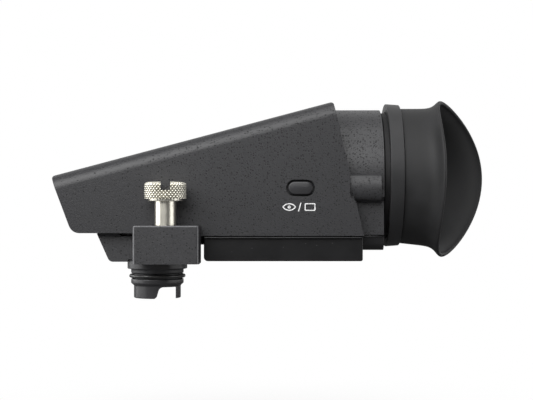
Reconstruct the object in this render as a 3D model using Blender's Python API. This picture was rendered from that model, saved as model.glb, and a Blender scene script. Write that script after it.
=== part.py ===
"""Electronic viewfinder on its camera foot.

A wedge-shaped housing carries a round eyepiece barrel and a rubber eyecup. It tilts up on
a friction hinge at the front of a cast foot. The foot plugs into a camera through a keyed,
sealed connector and is held by a captive thumbscrew.

Metres, +X towards the eyepiece, +Y away from the thumbscrew side, +Z up. The origin lies on
the underside of the foot, on the middle plane and in line with the connector's axis.
"""

import math

import bmesh
import bpy
import numpy as np
from mathutils import Matrix, Vector

MM = 0.001

# Clearances
SEAM = 0.3 * MM              # gap between pieces that touch
OVERCUT = 1.0 * MM           # how far a cutter runs past the face it opens
SIDE_GAP = 0.5 * MM          # foot to the side of the housing
EDGE = 0.5 * MM              # small bevel on cast and moulded edges

# Housing, a wedge that rises towards the eyepiece
HOUSING_WALL = 1.8 * MM
HOUSING_ROOM = 2.5 * MM      # between the barrel and the inside of the housing's walls
NOSE_X = -36.2 * MM
ROOF_OVER = 1.39 * MM        # roof's rear edge over the top of the barrel
NOSE_LEAN = math.radians(20.6)
NOSE_CORNER = 3.0 * MM
NOSE_LIP = 3.8 * MM          # floor that the housing itself has behind the nose
ROOF_SLOPE = math.radians(14.85)
REAR_REACH = 7.42 * MM       # barrel's end from the foot of the housing's rear edge
REAR_LEAN = math.radians(12.7)
SHOULDER = 3.6 * MM          # rounding along the roof's long edges
SKIRT_Z = 10.0 * MM          # lower edge over the foot
DECK_Z = 9.0 * MM            # lower edge behind the foot
FLOOR_THICKNESS = 1.4 * MM

# Foot
FOOT_WIDTH = 48.0 * MM
FOOT_HEIGHT = 8.9 * MM
FOOT_FRONT_X = -20.3 * MM
FOOT_RAKE = math.radians(26.6)
FOOT_REAR_X = 12.0 * MM
FOOT_FLOOR = 2.0 * MM        # thickness under the cable pocket
POCKET_WALL = 2.0 * MM
POCKET_REACH = 1.5 * MM      # how far the pocket runs over the connector's bore
LID_THICKNESS = 1.2 * MM
LID_POST_RADIUS = 2.0 * MM
LID_SINK = 0.7 * MM
LID_SINK_RADIUS = 1.9 * MM
CABLE_GATE_WIDTH = 5.6 * MM
CABLE_GATE_TOP = 4.6 * MM

# Tilt hinge
TILT_X = -15.5 * MM
TILT_Z = 4.5 * MM
PIN_RADIUS = 1.2 * MM
KNUCKLE_RADIUS = 2.4 * MM
ARM_INSET = 9.5 * MM         # middle of each hinge arm from the side of the foot
ARM_THICKNESS = 3.0 * MM
ARM_FOOT_WIDTH = 6.0 * MM
WASHER_THICKNESS = 0.5 * MM
CABLE_NOTCH_WIDTH = 14.0 * MM
PIN_GRIP = 4.0 * MM          # how deep a pin sits in the outer ear
ARM_REACH = 5.2 * MM         # how far an arm's foot runs behind the notch
ARM_RISE = 0.4 * MM          # arm's foot over the top of the foot
CABLE_COIL = 2.1 * MM        # radius of the flat cable's coil round the tilt axis
CABLE_THICKNESS = 0.4 * MM
STRIP_THICKNESS = 0.3 * MM
CABLE_OUTER_Y = 5.0 * MM
CABLE_INNER_Y = 0.4 * MM
CABLE_END_X = 4.0 * MM

# Thumbscrew and the lug it sits in
HEAD_RADIUS = 7.1 * MM
HEAD_HEIGHT = 6.5 * MM
HEAD_GAP = 0.9 * MM          # head to the side of the housing
HEAD_RIDGES = 30
RIDGE_DEPTH = 0.22 * MM
SCREW_X = 4.0 * MM
SCREW_LIFT = 8.3 * MM        # shank that shows over the lug
SHANK_RADIUS = 3.4 * MM
THREAD_RADIUS = 2.45 * MM
THREAD_DEPTH = 0.35 * MM
THREAD_PITCH = 1.6 * MM      # coarser than a real thread, to keep the solid light
SLOT_WIDTH = 3.2 * MM
SLOT_DEPTH = 2.9 * MM
SLOT_TURN = math.radians(5)
LUG_LENGTH = 21.2 * MM
LUG_SHIFT = 0.2 * MM         # the lug's middle behind the screw's axis
LUG_REACH = 6.5 * MM         # outer face from the screw's axis
LUG_INNER_Y = -12.6 * MM
LUG_TOP = 12.8 * MM
LUG_ROOF = 1.9 * MM          # thickness over the clip's chamber
CLIP_THICKNESS = 0.6 * MM
CLIP_RADIUS = 4.5 * MM
BUSH_THICKNESS = 1.0 * MM
BUSH_LIFT = 0.2 * MM
HEAD_DOME = 1.1 * MM         # height of the head's top bevel
HEAD_CHAMFER = 0.7 * MM
HEAD_INSET = 1.4 * MM        # how far the head's two ends step in
THREAD_END = 0.8 * MM        # the thread's tip over the camera's face

# Connector
PLUG_SPACING = 16.0 * MM     # connector's axis from the thumbscrew's
FLANGE_RADIUS = 10.4 * MM
FLANGE_BOTTOM = -2.45 * MM
FLANGE_SINK = 0.8 * MM       # how deep the flange sits in the foot
PLUG_RADIUS = 9.15 * MM
GROOVE_TOP = -4.1 * MM
GROOVE_HEIGHT = 1.7 * MM
RING_RADIUS = 0.65 * MM      # the seal's own thickness, halved
COLLAR_BOTTOM = -7.4 * MM
SKIRT_TOP = -8.3 * MM
SKIRT_RADIUS = 8.15 * MM
SKIRT_END = -13.0 * MM
SKIRT_WALL = 1.5 * MM
STEM_RADIUS = 6.5 * MM
STEM_WALL = 1.2 * MM
CONTACT_COUNT = 12
CONTACT_CIRCLE = 3.4 * MM
CONTACT_RADIUS = 0.45 * MM
CONTACT_LENGTH = 1.4 * MM
KEY_FRONT_X = 0.4 * MM       # the gap in the skirt, from its curved side
KEY_REAR_X = 6.2 * MM        # to its straight side
KEY_TOP = -9.0 * MM

# Lower cover and chin
COVER_FRONT_X = 16.5 * MM
CHIN_LENGTH = 7.4 * MM
COVER_BOTTOM = 0.3 * MM
COVER_INSET = 1.5 * MM       # side of the cover from the side of the housing
COVER_WALL = 1.5 * MM
COVER_LIP = 3.5 * MM
COVER_LIP_Z = 5.5 * MM
CHIN_BOTTOM = 3.9 * MM
CHIN_INSET = 0.5 * MM        # side of the chin from the barrel's lower wall
CHIN_WALL = 1.4 * MM
COVER_POST_RADIUS = 3.4 * MM
COVER_SINK = 2.0 * MM
COVER_SINK_RADIUS = 2.3 * MM
COVER_SCREW_X = 44.0 * MM
COVER_SCREW_INSET = 6.0 * MM

# Barrel and optics
AXIS_SINK = 2.3 * MM         # how far the barrel's circle dips below the housing's deck
BARREL_ROOM = 5.1 * MM       # outside of the barrel from the lens tube
BARREL_WALL = 1.6 * MM
REAR_WALL = 1.5 * MM         # wall that closes the housing round the barrel
BARREL_END_X = 79.0 * MM
LOBE_STOP = 1.2 * MM         # rear of the lobes before the barrel's end
WAIST_INSET = 2.2 * MM       # how far the barrel's lower wall is set in
LOBE_BULGE = 2.9 * MM        # how far each side lobe stands out of the barrel
LOBE_HEIGHT = 9.4 * MM
LOBE_LENGTH = 10.8 * MM
LOBE_CORNER = 3.0 * MM
TUBE_RADIUS = 18.6 * MM
TUBE_WALL = 1.5 * MM
TUBE_FRONT_X = 34.0 * MM
TUBE_STEP_X = 52.0 * MM
TUBE_STEP = 3.6 * MM         # front of the tube is narrower by this much
NECK_RIM = 4.0 * MM          # neck, and nut below, wider than the tube by this much
NECK_LENGTH = 4.6 * MM
NUT_THICKNESS = 1.2 * MM
NUT_RIM = 2.2 * MM
FIELD_LENS_X = 39.0 * MM
CARRIER_LEAD = 10.5 * MM     # front of the carrier before the dial's axis
CARRIER_LENGTH = 13.0 * MM
CARRIER_WALL = 1.6 * MM
WINDOW_THICKNESS = 1.5 * MM
WINDOW_SEAT = 1.2 * MM       # how much wider the window's seat is than the bore
LENS_STOP = 1.5 * MM         # how far the carrier's stop reaches in
SADDLE_INSET = 8.0 * MM
SADDLE_LENGTH = 5.0 * MM
SADDLE_WIDTH = 18.0 * MM
SADDLE_DROP = 9.0 * MM       # saddle's top below the optical axis
RETAINER_THICKNESS = 1.3 * MM

# Lenses, as edge thickness, then how far the front and the rear face bulge
FIELD_LENS = (1.6 * MM, 1.2 * MM, 1.8 * MM)
INNER_LENS = (2.3 * MM, 1.6 * MM, -1.0 * MM)
EYE_LENS = (2.2 * MM, -0.6 * MM, 2.2 * MM)

# Dioptre dial in the far lobe
DIAL_INSET = 4.5 * MM        # dial's axis from the front of the lobe
DIAL_RADIUS = 4.0 * MM
DIAL_PROUD = 1.6 * MM        # how far the dial stands out of its lobe
DIAL_SINK = 2.0 * MM         # how deep its seat is cut into the lobe
DIAL_SHAFT = 1.4 * MM
DIAL_RIDGES = 18
DIAL_RIDGE_DEPTH = 0.3 * MM
CRANK_REACH = 2.0 * MM
CRANK_PIN = 0.7 * MM
CRANK_RADIUS = 2.9 * MM
FORK_WIDTH = 4.4 * MM
FORK_WALL = 1.6 * MM         # fork below its slot
FORK_ROOM = 0.5 * MM
DIAL_SWING = math.radians(60)

# Eyecup
RING_OFFSET = 2.1 * MM       # front of the ring behind the barrel
RING_LENGTH = 5.5 * MM
RETAINER_RIM = 1.6 * MM      # retainer wider than the neck
RING_RIM = 1.7 * MM          # ring wider than the retainer
SPIGOT_STEP = 0.6 * MM       # spigot narrower than the neck
SPIGOT_LENGTH = 4.4 * MM
CUP_STEP = 0.25 * MM         # rubber tube wider than the retainer
CUP_FLARE = 3.95 * MM        # rim wider than the rubber tube
CUP_LENGTH = 15.1 * MM       # to the level that the rim passes above and below
CUP_WING = 19.1 * MM         # how far the rim's far side runs past that level
CUP_DROOP = 1.37 * MM        # the rim flares more below than above
CUP_LIP = 1.5 * MM
CUP_NEAR_STEP = 2.0 * MM     # how far its near side stays short of it
CUP_RIM_LEAN = 0.7 * MM      # the rim lies further back below than above
CUP_TUBE_DROOP = 0.25 * MM
RING_CROWN = 0.4 * MM        # the ring's edges are rounded off by this much
COLLAR_STEP = 2.0 * MM       # the collar's bore is wider than the tube's

# Button on the near side
BUTTON_X = 49.8 * MM
BUTTON_DROP = 4.9 * MM       # key's middle below the optical axis
BUTTON_LENGTH = 8.8 * MM
BUTTON_HEIGHT = 4.6 * MM
BUTTON_TRAVEL = 0.4 * MM
BUTTON_FLANGE = 0.8 * MM
BUTTON_PROUD = 0.25 * MM
BUTTON_STEM = 1.2 * MM       # radius of the stem behind the key
GUIDE_THICKNESS = 1.0 * MM
GUIDE_MARGIN = 3.4 * MM
SWITCH_SIZE = 6.0 * MM
SWITCH_DEPTH = 1.9 * MM
PLUNGER_RADIUS = 1.0 * MM
SWITCH_LEG_X = 5.2 * MM
SWITCH_LEG_RADIUS = 0.9 * MM
SWITCH_BOARD_LENGTH = 13.0 * MM
SWITCH_BOARD_HEIGHT = 9.0 * MM
SWITCH_BOARD_THICKNESS = 0.9 * MM

# Screws, as head radius, head height and shank radius
LID_SCREW = (1.5 * MM, 0.4 * MM, 0.7 * MM)
BOARD_SCREW = (1.7 * MM, 0.9 * MM, 0.7 * MM)
ARM_SCREW = (1.8 * MM, 1.0 * MM, 0.8 * MM)
COVER_SCREW = (1.9 * MM, 1.1 * MM, 0.9 * MM)
SCREW_STEPS = 12

# Electronics
BOARD_Z = 15.0 * MM
BOARD_THICKNESS = 1.2 * MM
BOARD_REAR_X = 26.0 * MM
BOARD_WIDTH = 40.0 * MM
BOARD_CORNER = 2.0 * MM
PANEL_FRAME_X = 29.5 * MM
PANEL_FRAME_WIDTH = 26.0 * MM
PANEL_FRAME_HEIGHT = 21.0 * MM
PANEL_WIDTH = 18.0 * MM
PANEL_HEIGHT = 13.0 * MM
PANEL_DEPTH = 1.6 * MM
PANEL_LEDGE = 2.1 * MM       # how far the frame overlaps the panel's face
BOARD_INSET = 6.0 * MM       # board's front end before the tilt axis
POST_INSET = 3.0 * MM
POST_RADIUS = 2.2 * MM
REAR_POST_INSET = 12.0 * MM
SCREW_HOLE = 1.1 * MM
CHIP_HEIGHT = 1.3 * MM
CHIPS = ((0.5, -0.2, 13 * MM), (0.22, 0.3, 8 * MM), (0.81, 0.5, 7 * MM),
         (0.24, -0.45, 6 * MM))     # share of the board's length, of its half width, and size
PANEL_FLEX_WIDTH = 8.0 * MM
PANEL_FLEX_BEND = 1.4 * MM
SPREADER_WIDTH = 22.0 * MM
SPREADER_RISE = 9.0 * MM     # spreader's top over the optical axis
SPREADER_FRONT_X = -4.0 * MM
SPREADER_SLOT = 9.2 * MM
FLEX = 0.3 * MM
SPREADER = 0.8 * MM

# Worked out from the sizes above
BARREL_RADIUS = TUBE_RADIUS + BARREL_ROOM
BARREL_WAIST = BARREL_RADIUS - WAIST_INSET
AXIS_Z = DECK_Z + BARREL_RADIUS - AXIS_SINK
ROOF_END_Z = AXIS_Z + BARREL_RADIUS + ROOF_OVER
ROOF_END_X = BARREL_END_X - REAR_REACH - (ROOF_END_Z - DECK_Z) * math.tan(REAR_LEAN)
NOSE_TOP = ROOF_END_Z - (ROOF_END_X - NOSE_X) * math.tan(ROOF_SLOPE)
INNER_HALF = BARREL_RADIUS + HOUSING_ROOM
HALF_WIDTH = INNER_HALF + HOUSING_WALL
COVER_HALF = HALF_WIDTH - COVER_INSET
COVER_REAR_X = BARREL_END_X - CHIN_LENGTH - SEAM
ARM_Y = FOOT_WIDTH / 2 - ARM_INSET
POCKET_Z = SKIRT_Z + HOUSING_WALL + SEAM
NOTCH_RADIUS = KNUCKLE_RADIUS + 0.5 * MM
NOTCH_HALF = ARM_THICKNESS / 2 + WASHER_THICKNESS + 2 * SEAM
NOTCH_BACK_X = TILT_X + KNUCKLE_RADIUS + 1.0 * MM
SCREW_Y = -(HALF_WIDTH + HEAD_GAP + HEAD_RADIUS)
PLUG_Y = SCREW_Y + PLUG_SPACING
LUG_LEFT_X = SCREW_X + LUG_SHIFT - LUG_LENGTH / 2
LUG_RIGHT_X = SCREW_X + LUG_SHIFT + LUG_LENGTH / 2
LUG_OUTER_Y = SCREW_Y - LUG_REACH
STEP_X = LUG_RIGHT_X + 0.8 * MM
CHAMBER_TOP = LUG_TOP - LUG_ROOF
CHAMBER_RADIUS = CLIP_RADIUS + SEAM
CLIP_TOP = CHAMBER_TOP - SEAM
TUBE_BORE = TUBE_RADIUS - TUBE_WALL
FRONT_TUBE_RADIUS = TUBE_RADIUS - TUBE_STEP
NECK_RADIUS = TUBE_RADIUS + NECK_RIM
RETAINER_RADIUS = NECK_RADIUS + RETAINER_RIM
EYE_RING_RADIUS = RETAINER_RADIUS + RING_RIM
SPIGOT_RADIUS = NECK_RADIUS - SPIGOT_STEP
CUP_TUBE_RADIUS = RETAINER_RADIUS + CUP_STEP
CUP_FLARE_RADIUS = CUP_TUBE_RADIUS + CUP_FLARE
RING_X = BARREL_END_X + RING_OFFSET
NECK_X = BARREL_END_X + SEAM
NECK_END_X = NECK_X + NECK_LENGTH
RETAINER_X = NECK_END_X + SEAM
COLLAR_X = RETAINER_X + 1.6 * MM
CUP_X = RING_X + RING_LENGTH + SEAM
CUP_RIM_X = CUP_X + CUP_LENGTH
CARRIER_RADIUS = TUBE_BORE - SEAM
PIN_BORE = PIN_RADIUS + SEAM
LOBE_END_X = BARREL_END_X - LOBE_STOP
LOBE_FRONT_X = LOBE_END_X - LOBE_LENGTH
DIAL_X = LOBE_FRONT_X + DIAL_INSET
DIAL_Z = AXIS_Z - LOBE_HEIGHT / 2
CARRIER_FRONT_X = DIAL_X - CARRIER_LEAD
BUTTON_Z = AXIS_Z - BUTTON_DROP
FOCUS_TRAVEL = CRANK_REACH * math.sin(DIAL_SWING)
CARRIER_BORE = CARRIER_RADIUS - CARRIER_WALL


def roof_z(x):
    """Height of the housing's roof over a place along X."""
    return NOSE_TOP + (x - NOSE_X) * math.tan(ROOF_SLOPE)


def nose_x(z):
    """Place of the housing's front face at a height."""
    return NOSE_X + (NOSE_TOP - z) * math.tan(NOSE_LEAN)


def rear_x(z):
    """Place of the housing's slanted rear edge at a height."""
    return ROOF_END_X + (roof_z(ROOF_END_X) - z) * math.tan(REAR_LEAN)


# Finishes: colour, roughness, metallic
SPECKLED_CASE = ((0.036, 0.036, 0.039), 0.55, 0.0)
DARK_CASE = ((0.014, 0.014, 0.016), 0.5, 0.0)
CAST_FOOT = ((0.045, 0.045, 0.050), 0.55, 0.0)
BLACK_PLASTIC = ((0.012, 0.012, 0.013), 0.5, 0.0)
RUBBER = ((0.010, 0.010, 0.011), 0.6, 0.0)
NICKEL = ((0.62, 0.59, 0.50), 0.28, 1.0)
STEEL = ((0.50, 0.50, 0.52), 0.35, 1.0)
BRASS = ((0.62, 0.46, 0.20), 0.35, 1.0)
ALUMINIUM = ((0.60, 0.61, 0.63), 0.4, 1.0)
COATED_GLASS = ((0.10, 0.12, 0.16), 0.05, 0.0)
GREEN_BOARD = ((0.015, 0.10, 0.05), 0.5, 0.0)
AMBER_FLEX = ((0.45, 0.20, 0.04), 0.4, 0.0)
DISPLAY_BLACK = ((0.008, 0.008, 0.012), 0.1, 0.0)

TOWARDS_X = (0.0, math.pi / 2, 0.0)
TOWARDS_Y = (-math.pi / 2, 0.0, 0.0)


def clear_objects():
    for thing in list(bpy.data.objects):
        bpy.data.objects.remove(thing, do_unlink=True)


def carrier_empty(name, spot, parent=None):
    """An empty that stands for a moving body, on its joint's axis."""
    empty = bpy.data.objects.new(name, None)
    bpy.context.scene.collection.objects.link(empty)
    empty.empty_display_size = 5 * MM
    empty["spot"] = spot
    if parent is not None:
        empty.parent = parent
        empty.location = Vector(spot) - Vector(parent["spot"])
    else:
        empty.location = spot
    return empty


def finish_material(name, finish):
    colour, roughness, metallic = finish
    material = bpy.data.materials.new(name)
    material.use_nodes = True
    shader = material.node_tree.nodes["Principled BSDF"]
    shader.inputs["Base Color"].default_value = (*colour, 1.0)
    shader.inputs["Roughness"].default_value = roughness
    shader.inputs["Metallic"].default_value = metallic
    return material


def mesh_object(name, bm):
    """Turn a bmesh into an object with its faces pointing out."""
    bmesh.ops.remove_doubles(bm, verts=bm.verts, dist=0.001 * MM)
    bmesh.ops.recalc_face_normals(bm, faces=bm.faces)
    mesh = bpy.data.meshes.new(name)
    bm.to_mesh(mesh)
    bm.free()
    thing = bpy.data.objects.new(name, mesh)
    bpy.context.scene.collection.objects.link(thing)
    return thing


def piece(name, bm, finish, parent, spot=(0.0, 0.0, 0.0), turn=(0.0, 0.0, 0.0), smooth=False):
    """A named sub-part, modelled about its own spot and hung on a body's empty."""
    thing = mesh_object(name, bm)
    thing.data.materials.append(finish_material(name, finish))
    thing.parent = parent
    thing.location = Vector(spot) - Vector(parent["spot"])
    thing.rotation_euler = turn
    if smooth:
        thing.data.shade_smooth()
        thing.data.set_sharp_from_angle(angle=math.radians(35))
    return thing


def helper(name, bm, spot=(0.0, 0.0, 0.0), turn=(0.0, 0.0, 0.0)):
    """A hidden tool solid for a Boolean."""
    thing = mesh_object(name, bm)
    thing.location = spot
    thing.rotation_euler = turn
    thing.hide_render = True
    thing.display_type = "WIRE"
    return thing


def apply_tool(target, tool, operation):
    modifier = target.modifiers.new(tool.name, "BOOLEAN")
    modifier.operation = operation
    modifier.object = tool
    modifier.solver = "EXACT"


def cut(target, *tools):
    for tool in tools:
        apply_tool(target, tool, "DIFFERENCE")


def weld(target, *tools):
    for tool in tools:
        apply_tool(target, tool, "UNION")


def soften(target, width=EDGE, segments=1):
    """Bevel every edge sharper than 50 degrees."""
    modifier = target.modifiers.new("edges", "BEVEL")
    modifier.width = width
    modifier.segments = segments
    modifier.limit_method = "ANGLE"
    modifier.angle_limit = math.radians(50)


def rounded(points, radii, steps=3):
    """Round the corners of an outline with arcs. A radius of 0 leaves a corner sharp."""
    outline = []
    count = len(points)
    for index, (point, radius) in enumerate(zip(points, radii)):
        corner = Vector(point)
        if radius == 0:
            outline.append(tuple(corner))
            continue
        before = (Vector(points[index - 1]) - corner).normalized()
        after = (Vector(points[(index + 1) % count]) - corner).normalized()
        half = before.angle(after) / 2
        middle = corner + (before + after).normalized() * (radius / math.sin(half))
        start = corner + before * (radius / math.tan(half)) - middle
        sweep = start.angle_signed(corner + after * (radius / math.tan(half)) - middle)
        for step in range(steps + 1):
            turned_start = Matrix.Rotation(-sweep * step / steps, 2) @ start
            outline.append(tuple(middle + turned_start))
    return outline


def prism(outline, low, high, along="Y"):
    """An outline carried along an axis. It is (x, z) for Y, (y, z) for X and (x, y) for Z."""
    order = {"X": (2, 0, 1), "Y": (0, 2, 1), "Z": (0, 1, 2)}[along]
    bm = bmesh.new()
    ends = []
    for level in (low, high):
        loop = []
        for first, second in outline:
            values = (first, second, level)
            loop.append(bm.verts.new([values[slot] for slot in order]))
        ends.append(loop)
    bm.faces.new(ends[0])
    bm.faces.new(ends[1])
    count = len(outline)
    for index in range(count):
        after = (index + 1) % count
        bm.faces.new((ends[0][index], ends[0][after], ends[1][after], ends[1][index]))
    bmesh.ops.recalc_face_normals(bm, faces=bm.faces)
    return bm


def block(low, high):
    """A box between two corners."""
    outline = [(low[0], low[2]), (high[0], low[2]), (high[0], high[2]), (low[0], high[2])]
    return prism(outline, low[1], high[1])


def turned(profile, steps=32, hollow=False):
    """A profile of (along, radius) spun about local Z. A hollow one closes on itself."""
    bm = bmesh.new()
    rings = []
    for along, radius in profile:
        if radius == 0:
            rings.append([bm.verts.new((0, 0, along))])
            continue
        loop = []
        for step in range(steps):
            angle = 2 * math.pi * step / steps
            loop.append(bm.verts.new((radius * math.cos(angle), radius * math.sin(angle), along)))
        rings.append(loop)
    pairs = list(zip(rings, rings[1:]))
    if hollow:
        pairs.append((rings[-1], rings[0]))
    for first, second in pairs:
        for step in range(steps):
            after = (step + 1) % steps
            corners = [first[step % len(first)], first[after % len(first)],
                       second[after % len(second)], second[step % len(second)]]
            bm.faces.new(list(dict.fromkeys(corners)))
    bmesh.ops.recalc_face_normals(bm, faces=bm.faces)
    return bm


def rod(low, high, radius, steps=24):
    return turned([(low, 0), (low, radius), (high, radius), (high, 0)], steps)


def ring(low, high, inner, outer, steps=32):
    return turned([(low, inner), (low, outer), (high, outer), (high, inner)], steps, hollow=True)


def stadium(length, height, steps=6):
    """An oval outline with half-round ends, centred on 0."""
    radius = height / 2
    straight = length / 2 - radius
    outline = []
    for side in (1, -1):
        for step in range(steps + 1):
            angle = -math.pi / 2 + math.pi * step / steps
            outline.append((side * (straight + radius * math.cos(angle)),
                            side * radius * math.sin(angle)))
    return outline


def ridged_outline(ridges, radius, depth):
    """A circle with straight grip ridges."""
    outline = []
    for ridge in range(ridges):
        for share, reach in ((0.0, radius), (0.5, radius), (0.75, radius - depth)):
            angle = 2 * math.pi * (ridge + share) / ridges
            outline.append((reach * math.cos(angle), reach * math.sin(angle)))
    return outline


def half_circle(radius, steps, start=0.0):
    """Points of a half circle, anticlockwise from a start angle."""
    angles = [start + math.pi * step / steps for step in range(steps + 1)]
    return [(radius * math.cos(angle), radius * math.sin(angle)) for angle in angles]


def add_screw(name, kind, length, parent, spot, turn=(0.0, 0.0, 0.0)):
    """A slotted pan-head screw, its head's underside at the spot and its shank down local Z."""
    head_radius, head_height, shank_radius = kind
    shape = turned([(head_height, 0), (head_height, head_radius * 0.8), (head_height * 0.6, head_radius),
                    (0, head_radius), (0, shank_radius), (-length, shank_radius), (-length, 0)],
                   SCREW_STEPS)
    screw = piece(name, shape, STEEL, parent, spot, turn, smooth=True)
    driver_slot(screw, name + "_slot", spot, head_radius, head_height, turn)


def driver_slot(target, name, spot, head_radius, head_height, turn=(0.0, 0.0, 0.0)):
    depth = head_height * 0.45
    tool = block((-head_radius * 1.5, -head_radius * 0.16, head_height - depth),
                 (head_radius * 1.5, head_radius * 0.16, head_height + OVERCUT))
    cut(target, helper(name, tool, spot, turn))


def lens_mesh(radius, edge_low, kind, rings=3, steps=28):
    """A lens along local Z, its faces bulging by a sag past their edges."""
    thickness, sag_low, sag_high = kind
    edge_high = edge_low + thickness
    profile = []
    for step in range(rings + 1):
        share = step / rings
        profile.append((edge_low - sag_low * (1 - share ** 2), radius * share))
    for step in range(rings, -1, -1):
        share = step / rings
        profile.append((edge_high + sag_high * (1 - share ** 2), radius * share))
    return turned(profile, steps)


def strip_outline(points, thickness):
    """A thin strip along a path of points, as a closed outline."""
    left = []
    right = []
    for index, point in enumerate(points):
        before = Vector(points[max(index - 1, 0)])
        after = Vector(points[min(index + 1, len(points) - 1)])
        here = Vector(point)
        first = (here - before).normalized() if index > 0 else (after - here).normalized()
        second = (after - here).normalized() if index < len(points) - 1 else first
        lean = (first + second).normalized()
        normal = Vector((-lean.y, lean.x)) / max(lean.dot(first), 0.3)
        left.append(tuple(here + normal * thickness / 2))
        right.append(tuple(here - normal * thickness / 2))
    return left + right[::-1]


def round_long_edges(bm, half_width, radius, segments):
    """Round the two long edges of the roof, where it meets the sides."""
    chosen = []
    for edge in bm.edges:
        first, second = (vert.co for vert in edge.verts)
        on_side = abs(abs(first.y) - half_width) < 0.01 * MM and abs(first.y - second.y) < 0.01 * MM
        rise = abs(second.z - first.z)
        run = abs(second.x - first.x)
        if on_side and run > (ROOF_END_X - NOSE_X) / 2 and rise > 0.1 * run:
            chosen.append(edge)
    bmesh.ops.bevel(bm, geom=chosen, offset=radius, segments=segments, profile=0.5, affect="EDGES")
    return bm


def build_foot(foot):
    """The cast foot: a raked slab with hinge ears, a cable pocket and the thumbscrew's lug."""
    half = FOOT_WIDTH / 2
    rake = FOOT_HEIGHT * math.tan(FOOT_RAKE) * 0.9
    slab = [(FOOT_FRONT_X, FOOT_HEIGHT), (FOOT_FRONT_X + rake, 0),
            (FOOT_REAR_X, 0), (FOOT_REAR_X, FOOT_HEIGHT)]
    body = piece("mount_foot", prism(slab, -half, half), CAST_FOOT, foot)
    lug = block((LUG_LEFT_X, LUG_OUTER_Y, 0), (LUG_RIGHT_X, -HALF_WIDTH - SIDE_GAP, LUG_TOP))
    sill = block((LUG_LEFT_X, SCREW_Y, 0), (LUG_RIGHT_X, LUG_INNER_Y, FOOT_HEIGHT))
    weld(body, helper("lug_tool", lug), helper("lug_sill_tool", sill))
    soften(body)

    front_x = FOOT_FRONT_X - OVERCUT
    for name, middle, width in (("near_arm_notch", -ARM_Y, 2 * NOTCH_HALF),
                                ("far_arm_notch", ARM_Y, 2 * NOTCH_HALF),
                                ("cable_notch", 0.0, CABLE_NOTCH_WIDTH)):
        notch = block((front_x, middle - width / 2, TILT_Z - NOTCH_RADIUS),
                      (NOTCH_BACK_X, middle + width / 2, FOOT_HEIGHT + OVERCUT))
        cut(body, helper(name, notch))

    bore_inner = CABLE_NOTCH_WIDTH / 2 - OVERCUT
    bore_outer = ARM_Y + NOTCH_HALF + PIN_GRIP + SEAM
    for name, side in (("near_pin_bore", -1), ("far_pin_bore", 1)):
        bore = rod(bore_inner, bore_outer, PIN_BORE, 16)
        turn = (-side * math.pi / 2, 0, 0)
        cut(body, helper(name, bore, (TILT_X, 0, TILT_Z), turn))

    front = NOTCH_BACK_X + POCKET_WALL
    rear = FOOT_REAR_X - POCKET_WALL
    pocket = block((front, PLUG_Y + STEM_RADIUS - POCKET_REACH, FOOT_FLOOR),
                   (rear, half - POCKET_WALL, FOOT_HEIGHT + 2 * OVERCUT))
    cut(body, helper("cable_pocket", pocket))
    gate = block((NOTCH_BACK_X - OVERCUT, 0, FOOT_FLOOR),
                 (front + OVERCUT, CABLE_GATE_WIDTH, CABLE_GATE_TOP))
    cut(body, helper("cable_gate", gate))
    bore = STEM_RADIUS + SEAM
    seat = FLANGE_RADIUS + SEAM
    plug_bore = turned([(-OVERCUT, 0), (-OVERCUT, seat), (FLANGE_SINK, seat), (FLANGE_SINK, bore),
                        (LUG_TOP, bore), (LUG_TOP, 0)], 36)
    cut(body, helper("plug_bore", plug_bore, (0, PLUG_Y, 0)))

    post_top = FOOT_HEIGHT - LID_THICKNESS - SEAM
    hole_low = FOOT_FLOOR + LID_POST_RADIUS * 0.7
    for name, spot in zip(("post_near", "post_far"), lid_post_places()):
        post = rod(FOOT_FLOOR - OVERCUT, post_top, LID_POST_RADIUS, 16)
        weld(body, helper(name, post, (*spot, 0)))
        hole = rod(hole_low, post_top + OVERCUT, LID_SCREW[2] + SEAM, SCREW_STEPS)
        cut(body, helper(name + "_hole", hole, (*spot, 0)))

    screw_spot = (SCREW_X, SCREW_Y, 0)
    cut(body, helper("clip_chamber", rod(-OVERCUT, CHAMBER_TOP, CHAMBER_RADIUS, 28), screw_spot))
    cut(body, helper("shank_hole", rod(CHAMBER_TOP - OVERCUT, LUG_TOP + OVERCUT,
                                       SHANK_RADIUS + SEAM, 28), screw_spot))
    bush = ring(BUSH_LIFT, BUSH_LIFT + BUSH_THICKNESS, THREAD_RADIUS + SEAM, CHAMBER_RADIUS - SEAM, 28)
    piece("guide_bush", bush, BRASS, foot, screw_spot, smooth=True)


def lid_post_places():
    x = FOOT_REAR_X - POCKET_WALL - POST_INSET
    return ((x, PLUG_Y + 2 * STEM_RADIUS - OVERCUT), (x, FOOT_WIDTH / 2 - POCKET_WALL - POST_INSET))


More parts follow.
